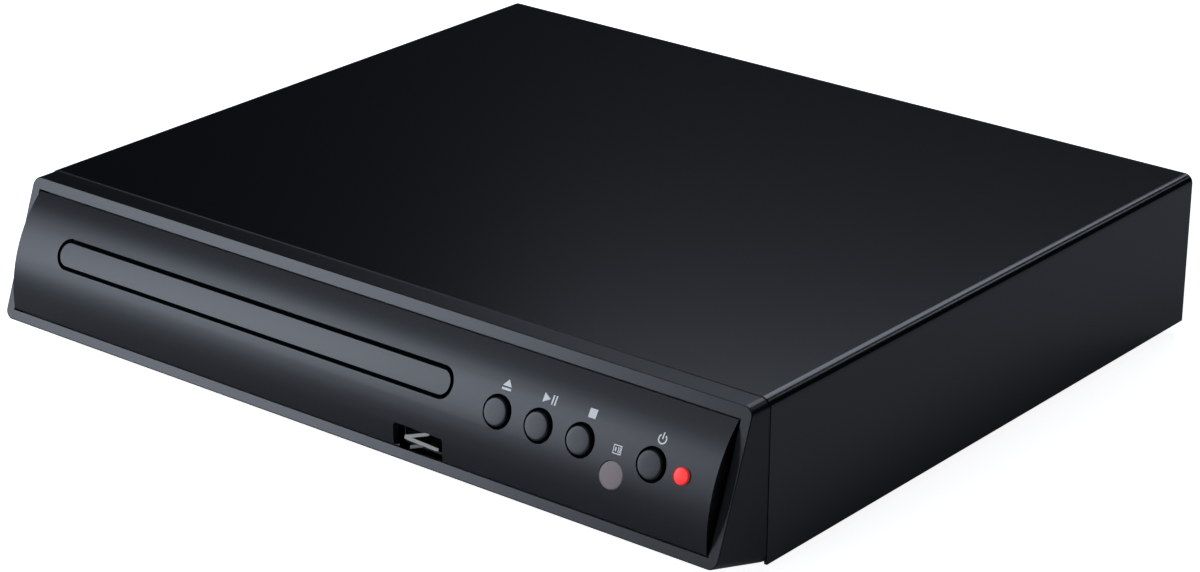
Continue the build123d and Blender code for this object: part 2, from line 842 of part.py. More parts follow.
with BuildPart() as disc_tray:
    with BuildSketch(tray_level(flange_bottom)):
        rect(-half_tray, half_tray, tray_front, tray_back)
    extrude(amount=tray_flange)
    fillet(disc_tray.edges().filter_by(Axis.Z).group_by(Axis.Y)[-1], 4.0)
    with BuildSketch(tray_level(tray_bottom)):
        rect(-half_body, half_body, tray_front, tray_back)
    extrude(amount=tray_height - tray_flange)
    with BuildSketch(tray_level(tray_top)):
        discs([(0, disc_y)], disc_recess / 2)
        rect(-window_width / 2, window_width / 2, disc_y, tray_back)
    extrude(amount=-disc_recess_depth, mode=Mode.SUBTRACT)
    with BuildSketch(tray_level(tray_seat)):
        discs([(0, disc_y)], small_recess / 2)
    extrude(amount=-small_recess_depth, mode=Mode.SUBTRACT)
    with BuildSketch(tray_level(tray_bottom)):
        discs([(0, disc_y)], window_width / 2)
        rect(-window_width / 2, window_width / 2, disc_y, disc_y + window_reach)
    extrude(amount=tray_height, mode=Mode.SUBTRACT)
    # Rack along the right side, under the flange
    with BuildSketch(tray_level(tray_bottom + 0.1)):
        with BuildLine():
            corners = [(half_body - 0.5, rack_start - rack_pitch / 2)]
            for tooth in range(rack_count):
                middle = rack_start + tooth * rack_pitch
                for reach, side in ((-1.0, -1), (0.9, -1), (0.9, 1), (-1.0, 1)):
                    half_tooth = rack_half_tooth - reach * rack_module * tooth_lean
                    corners.append((rack_pitch_line + reach * rack_module, middle + side * half_tooth))
            corners.append((half_body - 0.5, middle + rack_pitch / 2))
            Polyline(*corners, close=True)
        make_face()
    extrude(amount=flange_bottom - tray_bottom - 0.1)
save(disc_tray, "disc_tray")

# ---- Loader frame -------------------------------------------------------------------------

opening_half = lift_width / 2 + 3.0
opening_y0 = disc_y - lift_front - 2.0
opening_y1 = hinge_y + 6.0
deck_x0 = motor_x - tray_x - motor_radius - 2.0
guide_places = (loader_y0 + 8.0, disc_y + 24.0, loader_y1 - 14.0)
cam_y = disc_y - lift_front - pin_gap - cam_wall
drive_local = drive_x - tray_x
pulley_local = pulley_x - tray_x
motor_local = motor_x - tray_x
bridge_z = tray_top + bridge_rise
bridge_post = 7.0
post_y = (disc_y - bridge_width / 2 + bridge_post / 2, disc_y + bridge_width / 2 - bridge_post / 2)
bridge_screws = [(side * (guide_outer + bridge_post / 2 - 0.5), y) for side in (-1, 1) for y in post_y]
hinge_cheek = 4.0

with BuildPart() as loader_frame:
    # Floor round the opening for the lift frame
    with BuildSketch(tray_level(loader_z)):
        rect(-guide_outer, guide_outer, loader_y0, loader_y1)
        rect(-opening_half, opening_half, opening_y0, opening_y1, mode=Mode.SUBTRACT)
        rect(deck_x0, guide_outer, loader_y0, deck_y1, mode=Mode.SUBTRACT)
        discs([(x - tray_x, y) for x, y in loader_screw_places], ear_radius)
    extrude(amount=loader_floor)
    # Side and back walls
    with BuildSketch(tray_level(loader_z + loader_floor)):
        rect(-guide_outer, -guide_inner, loader_y0, loader_y1)
        rect(guide_inner, guide_outer, deck_y1, loader_y1)
    extrude(amount=loader_top - loader_z - loader_floor)
    with BuildSketch(tray_level(loader_z + loader_floor)):
        rect(-guide_inner, guide_inner, loader_y1 - loader_wall, loader_y1)
    extrude(amount=tray_bottom - loader_z - loader_floor - 1.0)
    # Gear deck at the front right, on its own skirt
    with BuildSketch(tray_level(deck_z)):
        rect(deck_x0, deck_x1, loader_y0, deck_y1)
    extrude(amount=deck_wall)
    with BuildSketch(tray_level(loader_z)):
        skirt_x = motor_local + motor_radius + 2.0
        rect(skirt_x, deck_x1, loader_y0, deck_y1)
        rect(skirt_x + loader_wall, deck_x1 - loader_wall, loader_y0 + loader_wall, deck_y1, mode=Mode.SUBTRACT)
        rect(guide_inner, deck_x1, deck_y1 - loader_wall, deck_y1)
        rect(deck_x0, deck_x0 + loader_wall / 2, loader_y0, deck_y1)
    extrude(amount=deck_z - loader_z)
    with BuildSketch(tray_level(deck_top)):
        discs([(pulley_local, gear_y)], axle_radius)
    extrude(amount=tray_bottom - deck_top - 0.6)
    with BuildSketch(tray_level(deck_top)):
        discs([(drive_local, gear_y)], axle_radius)
    extrude(amount=flange_bottom - deck_top - 0.6)
    # Ledges under the tray flange and fingers over it
    with BuildSketch(tray_level(flange_bottom - guide_gap)):
        for y in guide_places:
            rect(-guide_inner, -guide_inner + 1.6, y - hold_down_length, y + hold_down_length)
        for y in guide_places[1:]:
            rect(guide_inner - 1.6, guide_inner, y - hold_down_length, y + hold_down_length)
    extrude(amount=-ledge_wall)
    with BuildSketch(tray_level(tray_top + guide_gap)):
        for y in guide_places:
            rect(-guide_inner, -guide_inner + 2.4, y - hold_down_length / 2, y + hold_down_length / 2)
        for y in guide_places[1:]:
            rect(guide_inner - 2.4, guide_inner, y - hold_down_length / 2, y + hold_down_length / 2)
    extrude(amount=hold_down)
    # Posts for the clamp bridge
    with BuildSketch(tray_level(loader_z)):
        for side in (-1, 1):
            for y in post_y:
                with Locations((side * (guide_outer + bridge_post / 2 - 0.5), y)):
                    Rectangle(bridge_post, bridge_post)
    extrude(amount=bridge_z - loader_z)
    # Cheeks for the hinge of the lift frame
    with BuildSketch(Plane.YZ.offset(tray_x)):
        with BuildLine():
            cheek_r = hinge_pin_radius + 2.4
            Polyline(
                (hinge_y - cheek_r, hinge_z),
                (hinge_y - cheek_r, loader_z),
                (hinge_y + cheek_r, loader_z),
                (hinge_y + cheek_r, hinge_z),
            )
            ThreePointArc(
                (hinge_y + cheek_r, hinge_z), (hinge_y, hinge_z + cheek_r), (hinge_y - cheek_r, hinge_z)
            )
        make_face()
    cheeks = extrude(amount=opening_half + hinge_cheek, both=True)
    with BuildSketch(Plane.YZ.offset(tray_x)):
        rect(hinge_y - cheek_r - 1, hinge_y + cheek_r + 1, loader_z, hinge_z + cheek_r + 1)
    extrude(amount=opening_half, both=True, mode=Mode.SUBTRACT)
    with BuildSketch(Plane.YZ.offset(tray_x)):
        discs([(hinge_y, hinge_z)], hinge_pin_radius + axle_gap)
    extrude(amount=opening_half + hinge_cheek, both=True, mode=Mode.SUBTRACT)
    # Guides for the lift cam
    with BuildSketch(tray_level(loader_z + loader_floor)):
        for x in (-44.0, -12.0, 20.0):
            rect(x, x + 5.0, cam_y - 0.2 - 1.0, cam_y - 0.2)
        for x in (-52.0, 36.0):
            rect(x, x + 5.0, cam_y + cam_wall + 0.2, opening_y0)
    extrude(amount=6.0)
    # Screw holes
    with BuildSketch(tray_level(loader_z)):
        discs([(x - tray_x, y) for x, y in loader_screw_places], screw_shank_radius + slip)
    extrude(amount=loader_floor, mode=Mode.SUBTRACT)
    with BuildSketch(tray_level(bridge_z)):
        discs(bridge_screws, pilot)
    extrude(amount=-screw_length, mode=Mode.SUBTRACT)
    with BuildSketch(tray_level(deck_z)):
        discs([(motor_local, motor_y)], 3.4)
    extrude(amount=deck_wall, mode=Mode.SUBTRACT)
save(loader_frame, "loader_frame")
screws(
    "loader_screws",
    (level(loader_z + loader_floor), loader_screw_places),
    (tray_level(bridge_z + bridge_wall), bridge_screws),
)

# ---- Drive train --------------------------------------------------------------------------

belt_z = deck_top + 0.5
pinion_z = belt_z + pulley_height + 0.4
wheel_z = pinion_z + 0.2
rack_gear_z = flange_bottom - guide_gap - gear_thickness + 0.2
gear_bore = axle_radius + axle_gap

with BuildPart() as drive_gear:
    with BuildSketch(level(wheel_z)):
        add(gear_outline(wheel_module, wheel_teeth, (drive_x, gear_y), 0))
    extrude(amount=gear_thickness)
    with BuildSketch(level(deck_top + 0.2)):
        discs([(drive_x, gear_y)], gear_bore + 0.9)
    extrude(amount=wheel_z - deck_top - 0.2)
    with BuildSketch(level(wheel_z + gear_thickness)):
        discs([(drive_x, gear_y)], drive_radius - 2.0)
    extrude(amount=rack_gear_z - wheel_z - gear_thickness)
    with BuildSketch(level(rack_gear_z)):
        add(gear_outline(rack_module, drive_teeth, (drive_x, gear_y), pi + pi / drive_teeth))
    extrude(amount=gear_thickness - 0.2)
    with BuildSketch(level(deck_top)):
        discs([(drive_x, gear_y)], gear_bore)
    extrude(amount=3 * gear_thickness + pulley_height + 1.0, mode=Mode.SUBTRACT)
save(drive_gear, "drive_gear")

with BuildPart() as pulley_gear:
    with BuildSketch(level(belt_z)):
        discs([(pulley_x, gear_y)], pulley_radius + 1.2)
    extrude(amount=pulley_height)
    with BuildSketch(level(belt_z + (pulley_height - belt_width) / 2 - 0.1)):
        discs([(pulley_x, gear_y)], pulley_radius + 2.0)
        discs([(pulley_x, gear_y)], pulley_radius, mode=Mode.SUBTRACT)
    extrude(amount=belt_width + 0.2, mode=Mode.SUBTRACT)
    with BuildSketch(level(belt_z + pulley_height)):
        add(gear_outline(wheel_module, pinion_teeth, (pulley_x, gear_y), pi / pinion_teeth))
    extrude(amount=gear_thickness + 0.8)
    with BuildSketch(level(deck_top)):
        discs([(pulley_x, gear_y)], gear_bore)
    extrude(amount=3 * gear_thickness + pulley_height, mode=Mode.SUBTRACT)
save(pulley_gear, "pulley_gear")

with BuildPart() as loading_motor:
    with BuildSketch(level(deck_z)):
        discs([(motor_x, motor_y)], motor_radius)
    extrude(amount=-motor_height)
    fillet(loading_motor.edges().group_by(Axis.Z)[0], 0.8)
    with BuildSketch(level(deck_z)):
        discs([(motor_x, motor_y)], 3.0)
    extrude(amount=deck_wall - 0.2)
    with BuildSketch(level(deck_z)):
        discs([(motor_x, motor_y)], motor_shaft_radius)
    extrude(amount=belt_z + pulley_height + 0.4 - deck_z)
save(loading_motor, "loading_motor")

with BuildPart() as motor_pulley:
    with BuildSketch(level(belt_z)):
        discs([(motor_x, motor_y)], motor_pulley_radius + 1.0)
    extrude(amount=pulley_height)
    with BuildSketch(level(belt_z + (pulley_height - belt_width) / 2 - 0.1)):
        discs([(motor_x, motor_y)], motor_pulley_radius + 2.0)
        discs([(motor_x, motor_y)], motor_pulley_radius, mode=Mode.SUBTRACT)
    extrude(amount=belt_width + 0.2, mode=Mode.SUBTRACT)
    with BuildSketch(level(belt_z)):
        discs([(motor_x, motor_y)], motor_shaft_radius + 0.02)
    extrude(amount=pulley_height, mode=Mode.SUBTRACT)
save(motor_pulley, "motor_pulley")


def belt_loop(reach):
    """Loop round both pulleys, at a distance out from their grooves."""
    with BuildSketch() as loop:
        discs([(pulley_x, gear_y)], pulley_radius + reach)
        discs([(motor_x, motor_y)], motor_pulley_radius + reach)
        make_hull()
    return loop.sketch


with BuildPart() as drive_belt:
    with BuildSketch(level(belt_z + (pulley_height - belt_width) / 2)):
        add(belt_loop(axle_gap + belt_thickness))
        add(belt_loop(axle_gap), mode=Mode.SUBTRACT)
    extrude(amount=belt_width)
save(drive_belt, "drive_belt")

# ---- Lift frame and sled ------------------------------------------------------------------

lift_half = lift_width / 2
barrel_radius = hinge_pin_radius + 1.6
lift_y0 = -hinge_reach - lift_front
window_half = lift_window / 2
plate_half = window_half + 5.0
plate_y0 = -hinge_reach - spindle_radius - 3.5
plate_y1 = rod_back + 3.0
grommet_places = [
    (side * (window_half + 1.8 + 0.2), y)
    for side in (-1, 1)
    for y in (plate_y0 + 5.0, -barrel_radius - grommet_radius - grommet_clear)
]
pin_places = (-22.0, 6.0)

with BuildPart() as lift_frame:
    with BuildSketch(sled.offset(-lift_top)):
        rect(-lift_half, lift_half, lift_y0, hinge_pin_radius + 2.0)
        rect(-window_half, window_half, lift_y0 + 6.0, plate_y1 - 1.0, mode=Mode.SUBTRACT)
    extrude(amount=lift_wall)
    with BuildSketch(sled_upright(lift_y0)):
        rect(pin_places[0] - 5.0, pin_places[1] + 5.0, -lift_top, pin_rise + cam_pin_radius + 1.0)
    extrude(amount=-pin_tab)
    with BuildSketch(sled_upright(lift_y0)):
        discs([(x, pin_rise) for x in pin_places], cam_pin_radius)
    extrude(amount=pin_gap + cam_wall + 1.0)
    with BuildSketch(Plane(sled.origin, x_dir=sled.y_dir, z_dir=(1, 0, 0))):
        discs([(0, 0)], barrel_radius)
    extrude(amount=lift_half, both=True)
    with BuildSketch(Plane(sled.origin, x_dir=sled.y_dir, z_dir=(1, 0, 0))):
        discs([(0, 0)], hinge_pin_radius)
    extrude(amount=opening_half + hinge_cheek, both=True)
    with BuildSketch(sled.offset(lift_top)):
        discs(grommet_places, 1.2)
    extrude(amount=grommet_height + plate_wall)
save(lift_frame, "lift_frame")

with BuildPart() as grommets:
    with BuildSketch(sled.offset(lift_top)):
        discs(grommet_places, grommet_radius)
        discs(grommet_places, 1.3, mode=Mode.SUBTRACT)
    extrude(amount=plate_z - lift_top)
save(grommets, "damper_grommets")

with BuildPart() as sled_plate:
    with BuildSketch(sled.offset(plate_z)):
        rect(-plate_half, plate_half, plate_y0, plate_y1)
        rect(-pickup_width / 2 - 3.0, pickup_width / 2 + 3.0, rod_front + 1.0, rod_back - 1.0, mode=Mode.SUBTRACT)
        discs(grommet_places, 1.3, mode=Mode.SUBTRACT)
        discs([(0, -hinge_reach)], 4.0, mode=Mode.SUBTRACT)
        rect(
            screw_x - feed_motor_width / 2 - slip,
            screw_x + feed_motor_width / 2 + slip,
            screw_front - feed_motor_length - slip,
            screw_front,
            mode=Mode.SUBTRACT,
        )
    extrude(amount=plate_wall)
    # Rod holders
    with BuildSketch(sled.offset(plate_top)):
        for x in (-rod_spacing / 2, rod_spacing / 2):
            for y in (rod_front - 1.5, rod_back + 1.5):
                with Locations((x, y)):
                    Rectangle(6.0, 3.0)
    extrude(amount=rod_z + rod_radius + 1.0 - plate_top)
    # Bearings of the lead screw, the front one carrying its motor
    with BuildSketch(sled.offset(plate_top)):
        rect(screw_x - 4.5, screw_x + 4.5, screw_front, screw_front + bearing_wall)
        rect(screw_x - 3.0, screw_x + 3.0, rod_back, rod_back + bearing_wall)
    extrude(amount=rod_z + rod_radius + 1.0 - plate_top)
    with BuildSketch(sled_upright(screw_front)):
        discs([(screw_x, rod_z)], screw_radius + axle_gap)
    extrude(amount=-rod_length - 3 * bearing_wall - 4.0, mode=Mode.SUBTRACT)
save(sled_plate, "sled_plate")

with BuildPart() as guide_rods:
    with BuildSketch(sled_upright(rod_front)):
        discs([(-rod_spacing / 2, rod_z), (rod_spacing / 2, rod_z)], rod_radius)
    extrude(amount=-rod_length)
save(guide_rods, "guide_rods")

with BuildPart() as spindle_motor:
    with BuildSketch(sled.offset(plate_z)):
        discs([(0, -hinge_reach)], spindle_radius)
    extrude(amount=-spindle_height)
    with BuildSketch(sled.offset(plate_z)):
        discs([(0, -hinge_reach)], 3.4)
    extrude(amount=plate_wall + 0.6)
    with BuildSketch(sled.offset(plate_z)):
        discs([(0, -hinge_reach)], motor_shaft_radius)
    extrude(amount=disc_height - plate_z - 0.6)
save(spindle_motor, "spindle_motor")

with BuildPart() as turntable:
    with BuildSketch(sled.offset(disc_height - pad_height)):
        discs([(0, -hinge_reach)], turntable_radius)
    extrude(amount=pad_height - turntable_height)
    with BuildSketch(sled.offset(disc_height - pad_height)):
        discs([(0, -hinge_reach)], hub_radius)
    extrude(amount=pad_height + hub_height, taper=12)
    with BuildSketch(sled.offset(disc_height - turntable_height)):
        discs([(0, -hinge_reach)], 3.0)
    extrude(amount=plate_top + 1.0 - disc_height + turntable_height)
    with BuildSketch(sled.offset(plate_top)):
        discs([(0, -hinge_reach)], motor_shaft_radius + 0.02)
    extrude(amount=disc_height - plate_top - 0.6, mode=Mode.SUBTRACT)
save(turntable, "turntable")

with BuildPart() as turntable_pad:
    with BuildSketch(sled.offset(disc_height - pad_height)):
        discs([(0, -hinge_reach)], turntable_radius - 0.2)
        discs([(0, -hinge_reach)], turntable_radius - 0.2 - pad_width, mode=Mode.SUBTRACT)
    extrude(amount=pad_height)
save(turntable_pad, "turntable_pad")

lens_y = -hinge_reach + pickup_inner
pickup_z = rod_z - 4.0
pickup_top = pickup_z + pickup_height
rod_bore = rod_radius + axle_gap

with BuildPart() as optical_pickup:
    with BuildSketch(sled.offset(pickup_z)):
        rect(-pickup_width / 2, pickup_width / 2, lens_y - pickup_length / 2, lens_y + pickup_length / 2)
    extrude(amount=pickup_height)
    with BuildSketch(sled.offset(rod_z - 1.0)):
        rect(-rod_spacing / 2 - 3.0, rod_spacing / 2 + 3.0, lens_y - 9.0, lens_y + 9.0)
    extrude(amount=pickup_top - rod_z)
    with BuildSketch(sled_upright(lens_y)):
        discs([(-rod_spacing / 2, rod_z), (rod_spacing / 2, rod_z)], rod_bore)
        rect(-rod_spacing / 2 - rod_bore, -rod_spacing / 2 + rod_bore, rod_z - 3, rod_z)
        rect(rod_spacing / 2 - rod_bore, rod_spacing / 2 + rod_bore, rod_z - 3, rod_z)
    extrude(amount=pickup_length, both=True, mode=Mode.SUBTRACT)
    # Actuator cover round the lens
    with BuildSketch(sled.offset(pickup_top)):
        with Locations((0, lens_y)):
            Rectangle(15, 13)
            Circle(4.6, mode=Mode.SUBTRACT)
    extrude(amount=0.9)
save(optical_pickup, "optical_pickup")

with BuildPart() as pickup_lens:
    with BuildSketch(sled.offset(pickup_top)):
        discs([(0, lens_y)], lens_radius)
    extrude(amount=1.6)
    fillet(pickup_lens.edges().group_by(Axis(sled.origin, sled.z_dir))[-1], 1.0)
save(pickup_lens, "pickup_lens")

with BuildPart() as feed_nut:
    with BuildSketch(sled.offset(pickup_top - 2.2)):
        rect(rod_spacing / 2 + 3.0, screw_x + screw_radius + 1.5, lens_y - 4, lens_y + 4)
    extrude(amount=2.2)
    with BuildSketch(sled_upright(lens_y)):
        discs([(screw_x, rod_z)], screw_radius + axle_gap)
    extrude(amount=pickup_length, both=True, mode=Mode.SUBTRACT)
save(feed_nut, "feed_nut")

with BuildPart() as feed_motor:
    with BuildSketch(sled_upright(screw_front)):
        with Locations((screw_x, rod_z - feed_motor_drop)):
            RectangleRounded(feed_motor_width, feed_motor_height, feed_motor_height / 2 - 0.1)
    extrude(amount=feed_motor_length)
save(feed_motor, "feed_motor")

with BuildPart() as lead_screw:
    with BuildSketch(sled_upright(screw_front + axle_gap)):
        discs([(screw_x, rod_z)], screw_radius)
    extrude(amount=screw_front - rod_back - bearing_wall)
save(lead_screw, "lead_screw")

# ---- Lift cam: a bar that slides along X, with slots that carry the lift frame's pins -----

pin_reach = hinge_reach + lift_front + pin_gap + cam_wall / 2
cam_low = hinge_z - pin_reach * sin(lift) + pin_rise * cos(lift)
cam_high = hinge_z + pin_rise
ramp_length = hypot(cam_travel, cam_high - cam_low)
ramp_angle = degrees(atan2(cam_high - cam_low, cam_travel))
ramp_middles = [(x + cam_travel / 2, (cam_low + cam_high) / 2) for x in pin_places]
slot_radius = cam_pin_radius + cam_gap

with BuildPart() as lift_cam:
    with BuildSketch(Plane(origin=(tray_x, cam_y, 0), x_dir=(1, 0, 0), z_dir=(0, -1, 0))):
        rect(
            pin_places[0] - 6.0,
            pin_places[1] + cam_travel + 6.0,
            loader_z + loader_floor + 0.1,
            cam_high + slot_radius + 1.6,
        )
        with Locations(*ramp_middles):
            SlotCenterToCenter(
                ramp_length, 2 * slot_radius, rotation=ramp_angle, mode=Mode.SUBTRACT
            )
    extrude(amount=-cam_wall)
save(lift_cam, "lift_cam")

# ---- Clamp --------------------------------------------------------------------------------

bridge_top = bridge_z + bridge_wall
bridge_half = guide_outer + bridge_post - 0.5

with BuildPart() as clamp_bridge:
    with BuildSketch(tray_level(bridge_z)):
        rect(-bridge_half, bridge_half, disc_y - bridge_width / 2, disc_y + bridge_width / 2)
        discs([(0, disc_y)], clamper_neck, mode=Mode.SUBTRACT)
        discs(bridge_screws, screw_shank_radius + slip, mode=Mode.SUBTRACT)
    extrude(amount=bridge_wall)
    # Stiffening ribs along both edges
    with BuildSketch(tray_level(bridge_top)):
        for side in (-1, 1):
            y = disc_y + side * (bridge_width / 2 - 0.6)
            rect(-guide_outer + 4.0, guide_outer - 4.0, y - 0.6, y + 0.6)
    extrude(amount=2.4)
save(clamp_bridge, "clamp_bridge")

clamper_bottom = hinge_z + disc_height + 0.7
with BuildPart() as disc_clamper:
    with BuildSketch(tray_level(clamper_bottom)):
        discs([(0, disc_y)], clamper_neck - clamper_play)
    extrude(amount=bridge_top + 0.05 - clamper_bottom)
    with BuildSketch(tray_level(bridge_top + 0.05)):
        discs([(0, disc_y)], clamper_radius)
    extrude(amount=clamper_flange)
    with BuildSketch(tray_level(clamper_bottom)):
        discs([(0, disc_y)], hub_radius + 0.6)
    extrude(amount=hub_height + 0.6, mode=Mode.SUBTRACT)
    with BuildSketch(tray_level(bridge_top + 0.05 + clamper_flange)):
        discs([(0, disc_y)], 8.0)
    extrude(amount=-1.2, mode=Mode.SUBTRACT)
save(disc_clamper, "disc_clamper")

with BuildPart() as clamper_magnet:
    with BuildSketch(tray_level(bridge_top + 0.05 + clamper_flange - 1.2)):
        discs([(0, disc_y)], 7.9)
    extrude(amount=1.6)
save(clamper_magnet, "clamper_magnet")

# ---- Boards -------------------------------------------------------------------------------

board_top = board_z + board
with BuildPart() as main_board:
    with BuildSketch(level(board_z)):
        rect(main_x0, main_x1, main_y0, main_y1)
        rect(strip_x0, main_x0, strip_y0, main_y1)
        discs(main_screw_places, pilot, mode=Mode.SUBTRACT)
    extrude(amount=board)
save(main_board, "main_board")

with BuildPart() as power_board:
    with BuildSketch(level(board_z)):
        rect(power_x0, power_x1, strip_y0, main_y1)
        discs(power_screw_places, pilot, mode=Mode.SUBTRACT)
    extrude(amount=board)
save(power_board, "power_board")
screws(
    "board_screws",
    (level(board_top), main_screw_places + power_screw_places),
    (level(usb_board_top), usb_screw_places),
    (face_from_behind, front_post_places),
)

main_middle = (main_x0 + main_x1) / 2
with BuildPart() as processor:
    with BuildSketch(level(board_top)):
        with Locations((main_middle, seam + 80.0)):
            Rectangle(20.0, 20.0)
    extrude(amount=1.6)
save(processor, "processor")

with BuildPart() as memory_chips:
    with BuildSketch(level(board_top)):
        with Locations((main_middle - 10.0, seam + 54.0), (main_middle + 10.0, seam + 54.0)):
            Rectangle(10.0, 18.0)
    extrude(amount=1.2)
save(memory_chips, "memory_chips")

capacitor_places = [(main_x1 - 10.0, seam + 100.0 + 12.0 * i) for i in range(4)]
with BuildPart() as main_capacitors:
    with BuildSketch(level(board_top)):
        discs(capacitor_places, 3.15)
    extrude(amount=11.0)
    fillet(main_capacitors.edges().group_by(Axis.Z)[-1], 0.5)
save(main_capacitors, "main_capacitors")

transformer_x = inlet_x + 42.0
strip_middle = (strip_y0 + main_y1) / 2
with BuildPart() as transformer:
    with BuildSketch(level(board_top)):
        with Locations((transformer_x, strip_middle)):
            Rectangle(20.0, 19.0)
    extrude(amount=3.0)
    with BuildSketch(level(board_top + 3.0)):
        with Locations((transformer_x, strip_middle)):
            Rectangle(15.0, 17.0)
    extrude(amount=9.0)
    with BuildSketch(level(board_top + 12.0)):
        with Locations((transformer_x, strip_middle)):
            Rectangle(20.0, 19.0)
    extrude(amount=3.0)
save(transformer, "transformer")

with BuildPart() as mains_capacitor:
    with BuildSketch(level(board_top)):
        discs([(transformer_x - 20.0, strip_middle)], 6.3)
    extrude(amount=20.0)
    fillet(mains_capacitor.edges().group_by(Axis.Z)[-1], 0.8)
save(mains_capacitor, "mains_capacitor")

with BuildPart() as output_capacitors:
    with BuildSketch(level(board_top)):
        discs([(transformer_x + 17.0, strip_middle + dy) for dy in (-5.5, 5.5)], 4.0)
    extrude(amount=13.0)
    fillet(output_capacitors.edges().group_by(Axis.Z)[-1], 0.6)
save(output_capacitors, "output_capacitors")

# ---- Sockets ------------------------------------------------------------------------------

with BuildPart() as jack_block:
    with BuildSketch(level(board_top)):
        rect(
            jack_x - jack_pitch / 2,
            jack_x + (jack_count - 0.5) * jack_pitch,
            rear_inner - jack_block_depth,
            rear_inner,
        )
    extrude(amount=z_body + jack_z + jack_radius + 1.6 - board_top)
save(jack_block, "jack_block")

with BuildPart() as jack_sleeves:
    with BuildSketch(rearward(rear_inner)):
        discs([(-x, z) for x, z in jack_places], jack_radius)
    extrude(amount=back + jack_reach - rear_inner)
    with BuildSketch(rearward(rear_outer)):
        discs([(-x, z) for x, z in jack_places], jack_radius + jack_shoulder)
    extrude(amount=back - rear_outer)
    with BuildSketch(rearward(back + jack_reach)):
        discs([(-x, z) for x, z in jack_places], jack_radius - 0.7)
    extrude(amount=-(back + jack_reach - rear_inner), mode=Mode.SUBTRACT)
save(jack_sleeves, "jack_sleeves")

with BuildPart() as jack_inserts:
    with BuildSketch(rearward(rear_inner)):
        discs([(-x, z) for x, z in jack_places], jack_radius - 0.7)
    extrude(amount=back + jack_reach - rear_inner - 0.4)
    with BuildSketch(rearward(rear_inner)):
        discs([(-x, z) for x, z in jack_places], jack_bore_radius)
    extrude(amount=back + jack_reach - rear_inner, mode=Mode.SUBTRACT)
save(jack_inserts, "jack_inserts")

with BuildPart() as video_socket:
    with BuildSketch(rearward(rear_outer)):
        with Locations((-hdmi_x, hdmi_z)):
            Rectangle(hdmi_width, hdmi_height)
            Rectangle(hdmi_width - 1.0, hdmi_height - 1.0, mode=Mode.SUBTRACT)
    extrude(amount=-hdmi_depth)
    with BuildSketch(rearward(rear_outer - hdmi_depth)):
        with Locations((-hdmi_x, hdmi_z)):
            Rectangle(hdmi_width - 1.0, hdmi_height - 1.0)
    extrude(amount=1.0)
    with BuildSketch(rearward(rear_outer - hdmi_depth)):
        with Locations((-hdmi_x, hdmi_z)):
            Rectangle(hdmi_width - 3.0, 0.8)
    extrude(amount=hdmi_depth - 1.5)
save(video_socket, "video_socket")

pin_places_z = [(-inlet_x - inlet_pin_spacing / 2, inlet_z_mid), (-inlet_x + inlet_pin_spacing / 2, inlet_z_mid)]
with BuildPart() as mains_inlet:
    with BuildSketch(rearward(rear_outer)):
        with Locations((-inlet_x, inlet_z_mid)):
            Rectangle(inlet_width, inlet_height)
    extrude(amount=-inlet_depth)
    with BuildSketch(rearward(rear_outer)):
        with Locations((-inlet_x, inlet_z_mid)):
            Rectangle(inlet_width + inlet_flange, inlet_height + inlet_flange)
    extrude(amount=1.2)
    fillet(mains_inlet.edges().filter_by(Axis.Y).group_by(Axis.Y)[-1], 1.0)
    with BuildSketch(rearward(rear_outer + 1.2)):
        discs(pin_places_z, 3.9)
        with Locations((-inlet_x, inlet_z_mid)):
            Rectangle(inlet_pin_spacing, 5.4)
    extrude(amount=inlet_wall - inlet_depth, mode=Mode.SUBTRACT)
save(mains_inlet, "mains_inlet")

with BuildPart() as inlet_pins:
    with BuildSketch(rearward(rear_outer + 1.2 + inlet_wall - inlet_depth)):
        discs(pin_places_z, inlet_pin_radius)
    extrude(amount=inlet_depth - 5.0)
save(inlet_pins, "inlet_pins")
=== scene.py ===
"""Disc player with a sliding tray: finishes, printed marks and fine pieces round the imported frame."""
import json
from math import atan2, cos, pi, radians, sin

import bmesh
import bpy
import numpy as np
from mathutils import Matrix, Vector


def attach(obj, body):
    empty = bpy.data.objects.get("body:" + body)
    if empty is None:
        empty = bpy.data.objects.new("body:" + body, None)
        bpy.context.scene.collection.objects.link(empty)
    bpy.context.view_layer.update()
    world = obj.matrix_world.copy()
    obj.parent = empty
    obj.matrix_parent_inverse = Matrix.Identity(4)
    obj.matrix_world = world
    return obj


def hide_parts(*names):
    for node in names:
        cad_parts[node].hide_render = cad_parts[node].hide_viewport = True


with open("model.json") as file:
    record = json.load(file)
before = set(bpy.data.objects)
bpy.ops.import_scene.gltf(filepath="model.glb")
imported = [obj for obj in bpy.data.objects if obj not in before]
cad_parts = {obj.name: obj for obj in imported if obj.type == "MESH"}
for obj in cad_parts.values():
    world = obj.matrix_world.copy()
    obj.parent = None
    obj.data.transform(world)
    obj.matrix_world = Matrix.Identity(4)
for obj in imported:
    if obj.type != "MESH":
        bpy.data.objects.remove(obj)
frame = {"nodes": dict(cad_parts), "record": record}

bl_info = {
    "name": "Disc player with a sliding tray",
    "version": (1, 0, 0),
    "blender": (4, 5, 0),
    "location": "View3D > Sidebar > Disc player",
    "description": "Dresses the packed disc player: paint, plastics, marks, screws, boards and the stage",
    "category": "Object",
}

MM = 0.001
NODES = frame["nodes"]
BODY_OF_NODE = {
    node: body for body, nodes in frame["record"]["behaviour"]["bodies"].items() for node in nodes
}
SLOT_OF_NODE = {part["node"]: part["material_slot"] for part in frame["record"]["subparts"]}
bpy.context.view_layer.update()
FINISHES = {}
RIGHT, BACK, UP = np.eye(3)


# ---- Settings that a user would change ------------------------------------------------------


def colour(name, description, value):
    """A colour setting, linear red, green and blue."""
    return bpy.props.FloatVectorProperty(
        name=name, description=description, subtype="COLOR", size=3, min=0.0, max=1.0, default=value
    )


